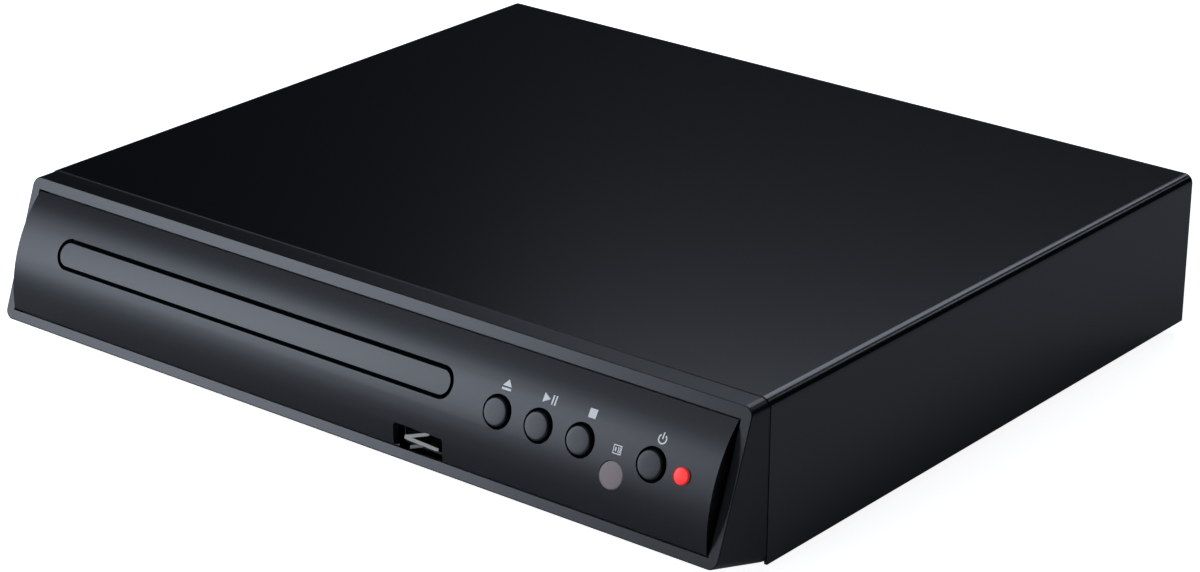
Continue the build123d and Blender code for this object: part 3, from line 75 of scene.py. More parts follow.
def length(name, description, value):
    """A length setting in metres."""
    return bpy.props.FloatProperty(
        name=name, description=description, subtype="DISTANCE", unit="LENGTH", precision=5, default=value
    )


def degrees(name, description, value):
    """An angle setting in degrees."""
    return bpy.props.FloatProperty(name=name, description=description, unit="NONE", default=value)


class PLAYER_PG_finish(bpy.types.PropertyGroup):
    """Colours of the parts that show."""

    cover: colour("Cover paint", "Satin paint of the cover and rear panel", (0.0011, 0.0013, 0.0018))
    bezel: colour("Bezel", "Moulded frame round the fascia", (0.0020, 0.0022, 0.0030))
    fascia: colour("Fascia", "Bulged panel", (0.0030, 0.0034, 0.0046))
    door: colour("Tray door", "Door on the tray", (0.0034, 0.0038, 0.0050))
    button: colour("Buttons", "Button caps", (0.0030, 0.0034, 0.0046))
    print_ink: colour("Printed marks", "Ink of the symbols over the buttons", (0.78, 0.77, 0.75))
    window: colour("Receiver window", "Smoked lens of the receiver", (0.2, 0.15, 0.14))
    lamp: colour("Standby lamp", "Light pipe", (1.0, 0.012, 0.008))
    tray: colour("Tray", "Disc tray and loader", (0.012, 0.012, 0.014))
    steel: colour("Plated steel", "Chassis, motors and plates", (0.55, 0.56, 0.57))
    laminate: colour("Boards", "Solder mask", (0.012, 0.1, 0.035))


class PLAYER_PG_fascia(bpy.types.PropertyGroup):
    """Shape of the fascia, which the marks and caps follow."""

    top_y: length("Top edge Y", "Front top edge of the bezel", -0.0918)
    top_z: length("Top edge Z", "Height of that edge", 0.043)
    slope_run: length("Slope run", "How far the slope runs out", 0.0127)
    slope_rise: length("Slope rise", "Height of the slope", 0.0347)
    start: length("Start", "Where the arch starts, down the slope", 0.0035)
    peak: length("Peak", "Highest line of the arch, down the slope", 0.019)
    bulge: length("Bulge", "Height of the arch", 0.0037)
    mark_lift: length("Ink lift", "Ink above the surface", 0.00003)


class PLAYER_PG_stage(bpy.types.PropertyGroup):
    """Camera and floor."""

    camera_place: bpy.props.FloatVectorProperty(
        name="Camera place", description="Camera position", subtype="XYZ", unit="LENGTH",
        default=(0.51703, -0.65459, 0.35361), precision=5,
    )
    azimuth: degrees("Azimuth", "Round the player, from the front to the right", 38.48)
    elevation: degrees("Elevation", "Above the horizon", 22.20)
    roll: degrees("Roll", "About the line of sight", 0.48)
    lens: bpy.props.FloatProperty(
        name="Lens", description="Focal length for a 36 mm sensor", unit="CAMERA", default=105.805
    )
    floor: colour("Floor", "Plain pale floor", (0.82, 0.82, 0.82))


# ---- Meshes ---------------------------------------------------------------------------------

WELD_DISTANCE = 1e-7
EQUAL_DIGITS = 6  # points of one solid that agree to this many decimals are one point
LONGEST_CUT = 0.49  # share of a run that one rounded corner may take


def add_piece(name, vertices, faces, material, body, smooth=True):
    """Makes a piece that rides on a body, from vertices and faces in the object's frame.

    Vertices in one place, as at a pole, are welded into one.
    """
    mesh = bpy.data.meshes.new(name)
    mesh.from_pydata(np.asarray(vertices, float).tolist(), [], [list(map(int, f)) for f in faces])
    welded = bmesh.new()
    welded.from_mesh(mesh)
    bmesh.ops.remove_doubles(welded, verts=welded.verts, dist=WELD_DISTANCE)
    welded.to_mesh(mesh)
    welded.free()
    mesh.materials.append(material)
    if smooth:
        mesh.polygons.foreach_set("use_smooth", np.ones(len(mesh.polygons), bool))
    piece = bpy.data.objects.new(name, mesh)
    bpy.context.scene.collection.objects.link(piece)
    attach(piece, body)
    return piece


def grid_faces(rows, columns, wrap=False):
    """Quads of a grid of points kept row by row; wrap joins the last column to the first."""
    across = columns if wrap else columns - 1
    row, column = np.meshgrid(np.arange(rows - 1), np.arange(across), indexing="ij")
    after = (column + 1) % columns
    here, below = row * columns, (row + 1) * columns
    quads = np.stack([here + column, here + after, below + after, below + column], axis=-1)
    return quads.reshape(-1, 4)


def joined(parts):
    """Several pairs of vertices and faces as one pair."""
    vertices, faces, count = [], [], 0
    for points, quads in parts:
        vertices.append(points)
        faces.extend([[int(i) + count for i in quad] for quad in quads])
        count += len(points)
    return np.concatenate(vertices), faces


def turned(profile, place, axis, across, segments=48):
    """A profile of (radius, height) pairs turned about an axis through a place.

    Point = place + height * axis + radius * (cos angle * across + sin angle * side), and the
    side is axis x across. Radii of zero close the ends.
    """
    profile = np.asarray(profile, float)
    side = np.cross(axis, across)
    angle = np.linspace(0, 2 * pi, segments, endpoint=False)
    ring = np.cos(angle)[:, None] * across + np.sin(angle)[:, None] * side
    points = (
        np.asarray(place, float)
        + profile[:, 1, None, None] * axis
        + profile[:, 0, None, None] * ring[None]
    )
    quads = grid_faces(len(profile), segments, wrap=True)
    return points.reshape(-1, 3), quads


def rounded_profile(points, radius, steps=5):
    """Rounds each inner corner of a profile with a curve, close to an arc of the given radius.

    Curve = (1 - t)^2 * start + 2 * t * (1 - t) * corner + t^2 * end, as t goes from 0 to 1.
    """
    points = [np.asarray(p, float) for p in points]
    made = [points[0]]
    for before, corner, after in zip(points, points[1:], points[2:]):
        to_before, to_after = before - corner, after - corner
        a, b = to_before / np.linalg.norm(to_before), to_after / np.linalg.norm(to_after)
        half = np.arccos(np.clip(a @ b, -1, 1)) / 2
        longest = [np.linalg.norm(side) * LONGEST_CUT for side in (to_before, to_after)]
        cut = min(radius / np.tan(half), *longest)
        share = np.linspace(0, 1, steps)[:, None]
        start, end = corner + a * cut, corner + b * cut
        made.extend((1 - share) ** 2 * start + 2 * share * (1 - share) * corner + share**2 * end)
    made.append(points[-1])
    return np.array(made)


def read_points(node):
    """Vertices of a CAD node as an array."""
    mesh = NODES[node].data
    points = np.zeros(len(mesh.vertices) * 3)
    mesh.vertices.foreach_get("co", points)
    return points.reshape(-1, 3)


def solids_of(node):
    """Vertices of each separate solid of a CAD node.

    Equal points share a label, and every triangle's corners take the least of their three labels,
    again and again, until no label changes.
    """
    mesh, points = NODES[node].data, read_points(node)
    same = np.unique(np.round(points, EQUAL_DIGITS), axis=0, return_inverse=True)[1].ravel()
    corners = np.zeros(len(mesh.loops), int)
    mesh.loops.foreach_get("vertex_index", corners)
    sides = same[corners].reshape(-1, 3)
    label = np.arange(same.max() + 1)
    while True:
        lower = label.copy()
        np.minimum.at(lower, sides.ravel(), np.repeat(label[sides].min(1), 3))
        lower = lower[lower]
        if (lower == label).all():
            break
        label = lower
    marks = label[same]
    return [points[marks == mark] for mark in np.unique(marks)]


def strip(path, across, depth):
    """A flat strip bent along a path, closed at both ends.

    Its corners at each step are point, point + depth, point + across + depth and point + across.
    """
    path, across, depth = (np.asarray(values, float) for values in (path, across, depth))
    rows = np.stack([path, path + depth, path + across + depth, path + across], axis=1)
    count = len(path)
    last = 4 * (count - 1)
    ends = np.array([[3, 2, 1, 0], [last, last + 1, last + 2, last + 3]])
    return rows.reshape(-1, 3), np.concatenate([grid_faces(count, 4, wrap=True), ends])


# ---- Materials ------------------------------------------------------------------------------

FINE_DETAIL, SLOW_DETAIL = 3.0, 4.0
BUMP_STRENGTH = 0.35
TONE_SPAN = 0.3, 0.7  # levels of the slow noise between which the colour changes
LEAST_ROUGHNESS = 0.02


def noise(tree, vector, scale, detail):
    """Output of a new noise texture that is read at a vector."""
    made = tree.nodes.new("ShaderNodeTexNoise")
    made.inputs["Scale"].default_value = scale
    made.inputs["Detail"].default_value = detail
    tree.links.new(vector, made.inputs["Vector"])
    return made.outputs["Fac"]


def finish(
    name,
    base,
    roughness,
    metallic=0.0,
    specular=0.5,
    grain=3000.0,
    grain_depth=0.00002,
    mottle=0.12,
    mottle_scale=60.0,
    stretch=(1.0, 1.0, 1.0),
    wear=0.06,
    glow=0.0,
):
    """A procedural finish: fine grain as bump and in the roughness, and slow noise in the colour."""
    if name in FINISHES:
        return FINISHES[name]
    made = FINISHES[name] = bpy.data.materials.new(f"{name}_finish")
    made.use_nodes = True
    tree = made.node_tree
    nodes, links = tree.nodes, tree.links
    shader = nodes["Principled BSDF"]
    shader.inputs["Metallic"].default_value = metallic
    shader.inputs["Specular IOR Level"].default_value = specular
    if glow:
        shader.inputs["Emission Color"].default_value = (*base, 1.0)
        shader.inputs["Emission Strength"].default_value = glow
    place = nodes.new("ShaderNodeTexCoord")
    mapping = nodes.new("ShaderNodeMapping")
    mapping.name = "placing"
    mapping.inputs["Scale"].default_value = stretch
    links.new(place.outputs["Object"], mapping.inputs["Vector"])
    fine = noise(tree, mapping.outputs["Vector"], grain, FINE_DETAIL)
    slow = noise(tree, mapping.outputs["Vector"], mottle_scale, SLOW_DETAIL)
    bump = nodes.new("ShaderNodeBump")
    bump.inputs["Strength"].default_value = BUMP_STRENGTH
    bump.inputs["Distance"].default_value = grain_depth
    links.new(fine, bump.inputs["Height"])
    links.new(bump.outputs["Normal"], shader.inputs["Normal"])
    ramp = nodes.new("ShaderNodeValToRGB")
    ramp.name = "tone"
    low, high = ramp.color_ramp.elements
    low.position, high.position = TONE_SPAN
    low.color = (*[c * (1 - mottle) for c in base], 1.0)
    high.color = (*[min(1.0, c * (1 + mottle)) for c in base], 1.0)
    links.new(slow, ramp.inputs["Fac"])
    links.new(ramp.outputs["Color"], shader.inputs["Base Color"])
    spread = nodes.new("ShaderNodeMapRange")
    spread.inputs["To Min"].default_value = max(LEAST_ROUGHNESS, roughness - wear)
    spread.inputs["To Max"].default_value = min(1.0, roughness + wear)
    links.new(fine, spread.inputs["Value"])
    links.new(spread.outputs["Result"], shader.inputs["Roughness"])
    return made


def colours():
    """The colours that the panel sets."""
    return bpy.context.scene.player_finish


def front_plastic(name, base, roughness=0.34, specular=0.42, grain_depth=0.000003):
    """A satin plastic of the front, with a very fine grain and hardly any mottle."""
    return finish(
        name, base, roughness, specular=specular, grain=4200, grain_depth=grain_depth, mottle=0.05, wear=0.03
    )


def cover_paint():
    """Satin paint of the cover and the rear panel."""
    return finish("cover_paint", colours().cover, 0.2, grain=5200, grain_depth=0.000004, wear=0.03)


def bezel_plastic():
    """The frame, a little glossier than the rest of the front."""
    return front_plastic("bezel_plastic", colours().bezel, roughness=0.3, specular=0.36, grain_depth=0.000004)


def fascia_plastic():
    """The bulged panel."""
    return front_plastic("fascia_plastic", colours().fascia)


def door_plastic():
    """The door on the tray."""
    return front_plastic("door_plastic", colours().door)


def button_plastic():
    """The caps of the buttons."""
    return front_plastic("button_plastic", colours().button)


def window_plastic():
    """Smoked lens of the receiver."""
    return finish("window_plastic", colours().window, 0.45, grain=2600, grain_depth=0.000006, mottle=0.04)


def lamp_plastic():
    """Red light pipe, lit a little."""
    return finish(
        "lamp_plastic", colours().lamp, 0.4, grain=2600, grain_depth=0.000004, mottle=0.02, glow=0.4
    )


def print_ink():
    """Pale ink of the symbols."""
    return finish("print_ink", colours().print_ink, 0.55, grain=6000, grain_depth=0.00001, mottle=0.05)


def tray_plastic():
    """The disc tray."""
    return finish("tray_plastic", colours().tray, 0.42, grain=3600, grain_depth=0.00002)


def zinc_steel():
    """Plated sheet steel with a broad spangle, drawn out along X."""
    return finish(
        "zinc_steel",
        colours().steel,
        0.34,
        metallic=1.0,
        grain=900,
        stretch=(1, 12, 12),
        mottle_scale=25,
        mottle=0.18,
    )


def bright_steel():
    """Ground steel, its grain drawn out along Y."""
    return finish("bright_steel", (0.7, 0.7, 0.71), 0.2, metallic=1.0, grain=1400, stretch=(10, 1, 10))


def nickel():
    """Dull plating of the port's springs."""
    return finish("nickel", (0.42, 0.4, 0.36), 0.4, metallic=0.2, grain=2400, mottle=0.05)


def aluminium_top():
    """Bare tops of the capacitors' cans."""
    return finish("aluminium_top", (0.6, 0.6, 0.62), 0.3, metallic=1.0, grain=1800, mottle=0.05)


def screw_steel():
    """Blackened steel of the screws."""
    return finish("screw_steel", (0.12, 0.12, 0.125), 0.32, metallic=1.0, grain=3000)


def gold_contact():
    """Gold on the port's contacts."""
    return finish("gold_contact", (0.8, 0.55, 0.22), 0.28, metallic=1.0, grain=3000)


def foot_rubber():
    """Black rubber of the feet and of the turntable's pad."""
    return finish("foot_rubber", (0.012, 0.012, 0.012), 0.78, specular=0.3, grain=2400, grain_depth=0.00005)


def soft_rubber():
    """Brown rubber of the dampers."""
    return finish("soft_rubber", (0.09, 0.028, 0.012), 0.6, grain=2400)


def belt_rubber():
    """Black rubber of the belt."""
    return finish("belt_rubber", (0.008, 0.008, 0.008), 0.65, grain=2600, grain_depth=0.00003)


def acetal():
    """Cream plastic of the gears."""
    return finish("acetal", (0.72, 0.7, 0.63), 0.38, grain=2000, mottle=0.04)


def moulded_black():
    """Black plastic of the parts that hold others."""
    return finish("moulded_black", (0.01, 0.01, 0.011), 0.5, grain=2600, grain_depth=0.00003)


def lens_glass():
    """Coated lens of the pickup."""
    return finish("lens_glass", (0.35, 0.45, 0.85), 0.06, grain=900, mottle=0.1, specular=0.9)


def capacitor_sleeve():
    """Dark blue sleeves of the capacitors."""
    return finish("capacitor_sleeve", (0.01, 0.014, 0.05), 0.25, grain=2000, mottle=0.2)


def winding_tape():
    """Yellow tape round the transformer."""
    return finish("winding_tape", (0.75, 0.5, 0.04), 0.4, grain=1200, mottle=0.1)


def jack_colour(name, base):
    """Coloured ring of one phono jack."""
    return finish(name, base, 0.4, grain=2200, mottle=0.05)


PATH_CELLS = 170.0  # cells per metre
PATH_DISORDER = 0.35
PATH_EDGE = 0.05, 0.075  # from a cell's edge: where the copper ends
PATH_COLOUR, NO_COLOUR = (0.04, 0.26, 0.08, 1), (0, 0, 0, 1)


def board_laminate():
    """Solder mask with the pale paths of the copper under it, from the edges of nearly square cells."""
    made = finish("board_laminate", colours().laminate, 0.3, grain=2600, mottle=0.15)
    nodes, links = made.node_tree.nodes, made.node_tree.links
    if "paths" in nodes:
        return made
    shader = nodes["Principled BSDF"]
    paths = nodes.new("ShaderNodeTexVoronoi")
    paths.name = "paths"
    paths.feature = "DISTANCE_TO_EDGE"
    paths.distance = "EUCLIDEAN"
    paths.inputs["Scale"].default_value = PATH_CELLS
    paths.inputs["Randomness"].default_value = PATH_DISORDER
    links.new(nodes["placing"].outputs["Vector"], paths.inputs["Vector"])
    edge = nodes.new("ShaderNodeValToRGB")
    edge.color_ramp.interpolation = "LINEAR"
    near, away = edge.color_ramp.elements
    near.position, away.position = PATH_EDGE
    near.color, away.color = PATH_COLOUR, NO_COLOUR
    links.new(paths.outputs["Distance"], edge.inputs["Fac"])
    blend = nodes.new("ShaderNodeMix")
    blend.data_type = "RGBA"
    blend.blend_type = "ADD"
    blend.inputs["Factor"].default_value = 1.0
    links.new(nodes["tone"].outputs["Color"], blend.inputs["A"])
    links.new(edge.outputs["Color"], blend.inputs["B"])
    links.new(blend.outputs["Result"], shader.inputs["Base Color"])
    return made


def dress(material, *names):
    """Gives CAD nodes a finish through their material slots."""
    for name in names:
        mesh = NODES[name].data
        mesh.materials.clear()
        mesh.materials.append(material)


# ---- Places on the fascia -------------------------------------------------------------------


def slope():
    """Start of the slope, and the directions down it and out of it."""
    shape = bpy.context.scene.player_fascia
    tilt = atan2(shape.slope_run, shape.slope_rise)
    start = np.array([0.0, shape.top_y, shape.top_z])
    return start, np.array([0.0, -sin(tilt), -cos(tilt)]), np.array([0.0, -cos(tilt), sin(tilt)])


def on_fascia(x, down, lift):
    """Points over the arch: start + x to the right + down the slope + (height + lift) out of it.

    The height is that of a circle through the peak: bulge - R + sqrt(R^2 - (down - peak)^2).
    """
    shape = bpy.context.scene.player_fascia
    start, along, out = slope()
    span = shape.peak - shape.start
    radius = (span**2 + shape.bulge**2) / (2 * shape.bulge)
    height = shape.bulge - radius + np.sqrt(radius**2 - (down - shape.peak) ** 2)
    points = start + np.asarray(x)[..., None] * RIGHT
    return points + np.asarray(down)[..., None] * along + (height + lift)[..., None] * out


def place_on_slope(node):
    """Where the middle of a node lies on the slope, and its highest and lowest points out of it."""
    points = read_points(node)
    start, along, out = slope()
    down, height = (points - start) @ along, (points - start) @ out
    x = (points[:, 0].min() + points[:, 0].max()) / 2
    place = start + x * RIGHT + (down.min() + down.max()) / 2 * along
    return place, height.max(), height.min()


# ---- Housing --------------------------------------------------------------------------------


class PLAYER_OT_housing(bpy.types.Operator):
    """Paint the cover and rear panel, plate the chassis, and finish the feet"""

    bl_idname = "player.housing"
    bl_label = "Housing"

    def execute(self, context):
        dress(cover_paint(), "top_cover", "rear_panel")
        dress(zinc_steel(), "base_chassis")
        dress(foot_rubber(), "rubber_feet")
        return {"FINISHED"}


# ---- Screws ---------------------------------------------------------------------------------

HEAD_RADIUS, HEAD_HEIGHT = 0.0027, 0.0014
HEAD_RINGS, HEAD_SEGMENTS = 15, 48
HEAD_RIM, HEAD_DOME, RECESS_DEPTH = 0.72, 0.28, 0.62  # as shares of the head's height
ARM_HALF, ARM_EDGE = 0.2, 0.06  # the cross's arms and their soft sides, as shares of the radius
ARM_REACH, REACH_EDGE = 0.62, 0.12  # their length and their soft ends, likewise
SHANK_RADIUS, SHANK_POINT, POINT_SHARE = 0.0014, 0.0006, 0.6
SHANK_SEGMENTS = 24


def screw_head(place, axis, across, radius, height):
    """Pan head with a cross recess, on a polar grid.

    Height = rim + dome * (1 - (r / R)^2) - depth * cross, and the cross is one within a narrow
    band about either of two square diameters, short of the rim.
    """
    side = np.cross(axis, across)
    share = np.linspace(0, 1, HEAD_RINGS)
    angle = np.linspace(0, 2 * pi, HEAD_SEGMENTS, endpoint=False)
    r, a = np.meshgrid(share, angle, indexing="ij")
    x, y = r * np.cos(a), r * np.sin(a)
    arm = np.minimum(np.abs(x), np.abs(y))
    cross = np.clip((ARM_HALF - arm) / ARM_EDGE, 0, 1) * np.clip((ARM_REACH - r) / REACH_EDGE, 0, 1)
    h = height * (HEAD_RIM + HEAD_DOME * (1 - r**2)) - RECESS_DEPTH * height * cross
    h = np.concatenate([h, np.zeros((1, HEAD_SEGMENTS))])
    x = np.concatenate([x, x[-1:]]) * radius
    y = np.concatenate([y, y[-1:]]) * radius
    points = np.asarray(place) + x[..., None] * across + y[..., None] * side + h[..., None] * axis
    return points.reshape(-1, 3), grid_faces(HEAD_RINGS + 1, HEAD_SEGMENTS, wrap=True)[:, ::-1]


def upright_screw(solid):
    """Head and shank of one screw, as high as its CAD solid.

    Every screw stands upright. The cover's own solids lie along Y and the front board's square to
    the slope, so their heads point the wrong way here.
    """
    middle = (solid.min(0) + solid.max(0)) / 2
    level = (solid - middle) @ UP
    foot, seat = middle + UP * level.min(), middle + UP * (level.max() - HEAD_HEIGHT)
    reach = (seat - foot) @ UP
    outline = [(0, 0), (SHANK_RADIUS * POINT_SHARE, 0), (SHANK_RADIUS, SHANK_POINT)]
    outline += [(SHANK_RADIUS, reach), (0, reach)]
    head = screw_head(seat, UP, RIGHT, HEAD_RADIUS, HEAD_HEIGHT)
    return [head, turned(outline, foot, UP, RIGHT, SHANK_SEGMENTS)]


class PLAYER_OT_screws(bpy.types.Operator):
    """Give every screw a pan head with a cross recess, over its shank"""

    bl_idname = "player.screws"
    bl_label = "Screws"

    def execute(self, context):
        for node in ("cover_screws", "loader_screws", "board_screws"):
            points, quads = joined([part for solid in solids_of(node) for part in upright_screw(solid)])
            body, slot = BODY_OF_NODE[node], SLOT_OF_NODE[node]
            made = add_piece(f"{node}_cross", points, quads, screw_steel(), body)
            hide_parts(node)
        return {"FINISHED"}


# ---- Front ----------------------------------------------------------------------------------


class PLAYER_OT_front(bpy.types.Operator):
    """Finish the bezel, the fascia, the tray door and the front board"""

    bl_idname = "player.front"
    bl_label = "Front"

    def execute(self, context):
        dress(bezel_plastic(), "front_bezel")
        dress(fascia_plastic(), "front_panel")
        dress(door_plastic(), "tray_door")
        dress(board_laminate(), "front_board")
        dress(bright_steel(), "button_switches")
        dress(moulded_black(), "infrared_receiver")
        return {"FINISHED"}


CAP_CROWN = (  # from the middle out: radius, and drop below the top
    (0.0018, 0.00001),
    (0.0026, 0.00003),
    (0.00305, 0.00005),
    (0.0034, 0.0004),
)
CAP_NECK, CAP_FLANGE, CAP_STEM = 0.00352, 0.0049, 0.0037  # radii
FLANGE_TOP, FLANGE_BASE = -0.0003, -0.0012  # out of the slope
CAP_EDGE = 0.00012
LENS_STEPS, LENS_ROUNDNESS, LENS_EDGE = 12, 0.98, 0.0002
FRONT_SEGMENTS = 64
LENSES = (  # node, radius, dome, finish
    ("receiver_window", 0.00328, 0.00012, window_plastic),
    ("standby_lamp", 0.00193, 0.0002, lamp_plastic),
)


def cap_profile(top, foot):
    """Half section of a button's cap, from the middle of its top to the foot of its stem."""
    outline = [(0, top)] + [(radius, top - drop) for radius, drop in CAP_CROWN]
    outline += [(CAP_NECK, FLANGE_TOP), (CAP_FLANGE, FLANGE_TOP), (CAP_FLANGE, FLANGE_BASE)]
    outline += [(CAP_STEM, FLANGE_BASE), (CAP_STEM, foot), (0, foot)]
    return rounded_profile(outline, CAP_EDGE)


def lens_profile(radius, dome, top, foot):
    """Half section of a lens: height = top - dome * (1 - sqrt(1 - share^2 * roundness))."""
    share = np.linspace(0, 1, LENS_STEPS)
    crown = [(radius * s, top - dome * (1 - np.sqrt(1 - s**2 * LENS_ROUNDNESS))) for s in share]
    return crown + [(radius, foot + LENS_EDGE), (radius - LENS_EDGE, foot), (0, foot)]


class PLAYER_OT_buttons(bpy.types.Operator):
    """Turn the button caps, the receiver window and the standby lamp"""

    bl_idname = "player.buttons"
    bl_label = "Buttons, window and lamp"

    def execute(self, context):
        out = slope()[2]
        for name in ("eject", "play", "stop", "power"):
            node = f"{name}_button"
            place, top, foot = place_on_slope(node)
            points, quads = turned(cap_profile(top, foot), place, out, RIGHT, FRONT_SEGMENTS)
            cap = add_piece(f"{name}_cap", points, quads[:, ::-1], button_plastic(), node)
            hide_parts(node)
        for node, radius, dome, material in LENSES:
            place, top, foot = place_on_slope(node)
            profile = lens_profile(radius, dome, top, foot)
            points, quads = turned(profile, place, out, RIGHT, FRONT_SEGMENTS)
            lens = add_piece(f"{node}_lens", points, quads[:, ::-1], material(), "housing")
            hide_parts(node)
        return {"FINISHED"}


# ---- Printed marks --------------------------------------------------------------------------


def patch(corners, cells=6):
    """A four-cornered print over the arch: the corners blended in x and down, then lifted onto it."""
    lift = bpy.context.scene.player_fascia.mark_lift
    a, b, c, d = (np.asarray(p, float) for p in corners)
    u, v = np.meshgrid(np.linspace(0, 1, cells), np.linspace(0, 1, cells), indexing="ij")
    u, v = u[..., None], v[..., None]
    flat = (1 - u) * ((1 - v) * a + v * d) + u * ((1 - v) * b + v * c)
    points = on_fascia(flat[..., 0], flat[..., 1], np.full(flat.shape[:2], lift))
    return points.reshape(-1, 3), grid_faces(cells, cells)


def arc_patch(centre, inner, outer, first, last, cells):
    """Part of a flat ring printed over the arch, between two angles in degrees from up the slope."""
    lift = bpy.context.scene.player_fascia.mark_lift
    angles = np.linspace(radians(first), radians(last), cells)
    angle, radius = np.meshgrid(angles, np.array([inner, outer]), indexing="ij")
    x = centre[0] + radius * np.sin(angle)
    down = centre[1] - radius * np.cos(angle)
    points = on_fascia(x, down, np.full(x.shape, lift))
    return points.reshape(-1, 3), grid_faces(cells, 2)


def bar(x, down, width, height):
    """An upright rectangle printed over the arch."""
    w, h = width / 2, height / 2
    return patch([(x - w, down - h), (x + w, down - h), (x + w, down + h), (x - w, down + h)])


def eject_symbol(x, down):
    """A triangle that points up, over a bar."""
    half, above, below = 1.3 * MM, 1.25 * MM, 0.35 * MM
    tip = (x, down - above)
    right, left = (x + half, down + below), (x - half, down + below)
    return joined([patch([tip, tip, right, left]), bar(x, down + 1.0 * MM, 2 * half, 0.5 * MM)])


def play_symbol(x, down):
    """A triangle that points right, and two upright bars."""
    half = 1.1 * MM
    tip = (x + 0.1 * MM, down)
    top, bottom = (x - 1.9 * MM, down - half), (x - 1.9 * MM, down + half)
    bars = [bar(x + shift * MM, down, 0.42 * MM, 2 * half) for shift in (0.75, 1.6)]
    return joined([patch([top, tip, tip, bottom]), *bars])


def stop_symbol(x, down):
    """A square."""
    side = 2.1 * MM
    return bar(x, down, side, side)


def receiver_symbol(x, down):
    """A frame with a bar in it, and two waves that spread from the bar to the right."""
    line, width, height = 0.22 * MM, 2.3 * MM, 2.1 * MM
    parts = [bar(x, down + shift * MM, width, line) for shift in (-0.95, 0.95)]
    parts += [bar(x + shift * MM, down, line, height) for shift in (-1.04, 1.04)]
    parts.append(bar(x - 0.45 * MM, down, 0.36 * MM, 0.9 * MM))
    source = (x - 0.5 * MM, down)
    parts.append(arc_patch(source, 0.75 * MM, 0.95 * MM, 50, 130, 8))
    parts.append(arc_patch(source, 1.15 * MM, 1.35 * MM, 55, 125, 8))
    return joined(parts)


def power_symbol(x, down):
    """A ring open at the top, with an upright bar in the gap."""
    ring = arc_patch((x, down + 0.15 * MM), 0.85 * MM, 1.2 * MM, 35, 325, 40)
    return joined([ring, bar(x, down - 0.6 * MM, 0.36 * MM, 1.5 * MM)])


MARKS = (  # name, symbol, and the X and distance down the slope of its middle
    ("eject_mark", eject_symbol, 0.0489, 0.0118),
    ("play_mark", play_symbol, 0.0613, 0.0118),
    ("stop_mark", stop_symbol, 0.0735, 0.0118),
    ("receiver_mark", receiver_symbol, 0.0825, 0.0176),
    ("power_mark", power_symbol, 0.0931, 0.0121),
)


class PLAYER_OT_marks(bpy.types.Operator):
    """Print the plain symbols over the buttons"""

    bl_idname = "player.marks"
    bl_label = "Printed marks"

    def execute(self, context):
        for name, symbol, x, down in MARKS:
            points, quads = symbol(x, down)
            add_piece(name, points, [f[::-1] for f in quads], print_ink(), "housing")
        return {"FINISHED"}


# ---- USB port -------------------------------------------------------------------------------

SPRINGS = (  # name, and places in mm: right of the shell's right side, behind its mouth, above its middle
    ("usb_spring_upper", ((-5.4, 1.4, 2.0), (-5.7, 0.1, 0.5), (-11.4, -2.1, -1.0), (-3.0, 0.1, -2.8))),
    ("usb_spring_lower", ((-7.3, 0.1, -2.86), (-9.8, -2.0, -3.2))),
)
SPRING_WIDTH, SPRING_DEPTH = (0, 0.0002, 0.0008), (0, 0.00014, 0)


class PLAYER_OT_port(bpy.types.Operator):
    """Finish the USB port, and add the bent springs that show in its mouth"""

    bl_idname = "player.port"
    bl_label = "USB port"

    def execute(self, context):
        dress(bright_steel(), "usb_shell")
        dress(moulded_black(), "usb_tongue")
        dress(gold_contact(), "usb_contacts")
        dress(moulded_black(), "usb_board")
        shell = read_points("usb_shell")
        low, high = shell.min(0), shell.max(0)
        mouth = np.array([high[0], low[1], (low[2] + high[2]) / 2])
        for name, steps in SPRINGS:
            points, quads = strip(mouth + np.array(steps) * MM, SPRING_WIDTH, SPRING_DEPTH)
            add_piece(name, points, quads, nickel(), "housing", smooth=False)
        return {"FINISHED"}


# ---- Loader and sled ------------------------------------------------------------------------


class PLAYER_OT_loader(bpy.types.Operator):
    """Finish the tray, the loader, its drive and the clamp"""

    bl_idname = "player.loader"
    bl_label = "Tray and loader"

    def execute(self, context):
        dress(tray_plastic(), "disc_tray")
        dress(moulded_black(), "loader_frame", "disc_clamper")
        dress(acetal(), "drive_gear", "pulley_gear", "motor_pulley", "lift_cam")
        dress(zinc_steel(), "loading_motor", "clamp_bridge", "clamper_magnet")
        dress(belt_rubber(), "drive_belt")
        return {"FINISHED"}


THREAD_ROOT, THREAD_CREST, THREAD_PITCH = 0.00115, 0.00148, 0.003
PITCH_ROWS, THREAD_SEGMENTS = 8, 24
ROD_END = 0.0003  # points this near to either end of the rod belong to that end


def rod_ends(node):
    """Middles of the front and back ends of a CAD rod that lies along Y."""
    rod = read_points(node)
    ends = [rod[abs(rod[:, 1] - y) < ROD_END] for y in (rod[:, 1].min(), rod[:, 1].max())]
    return [(end.min(0) + end.max(0)) / 2 for end in ends]


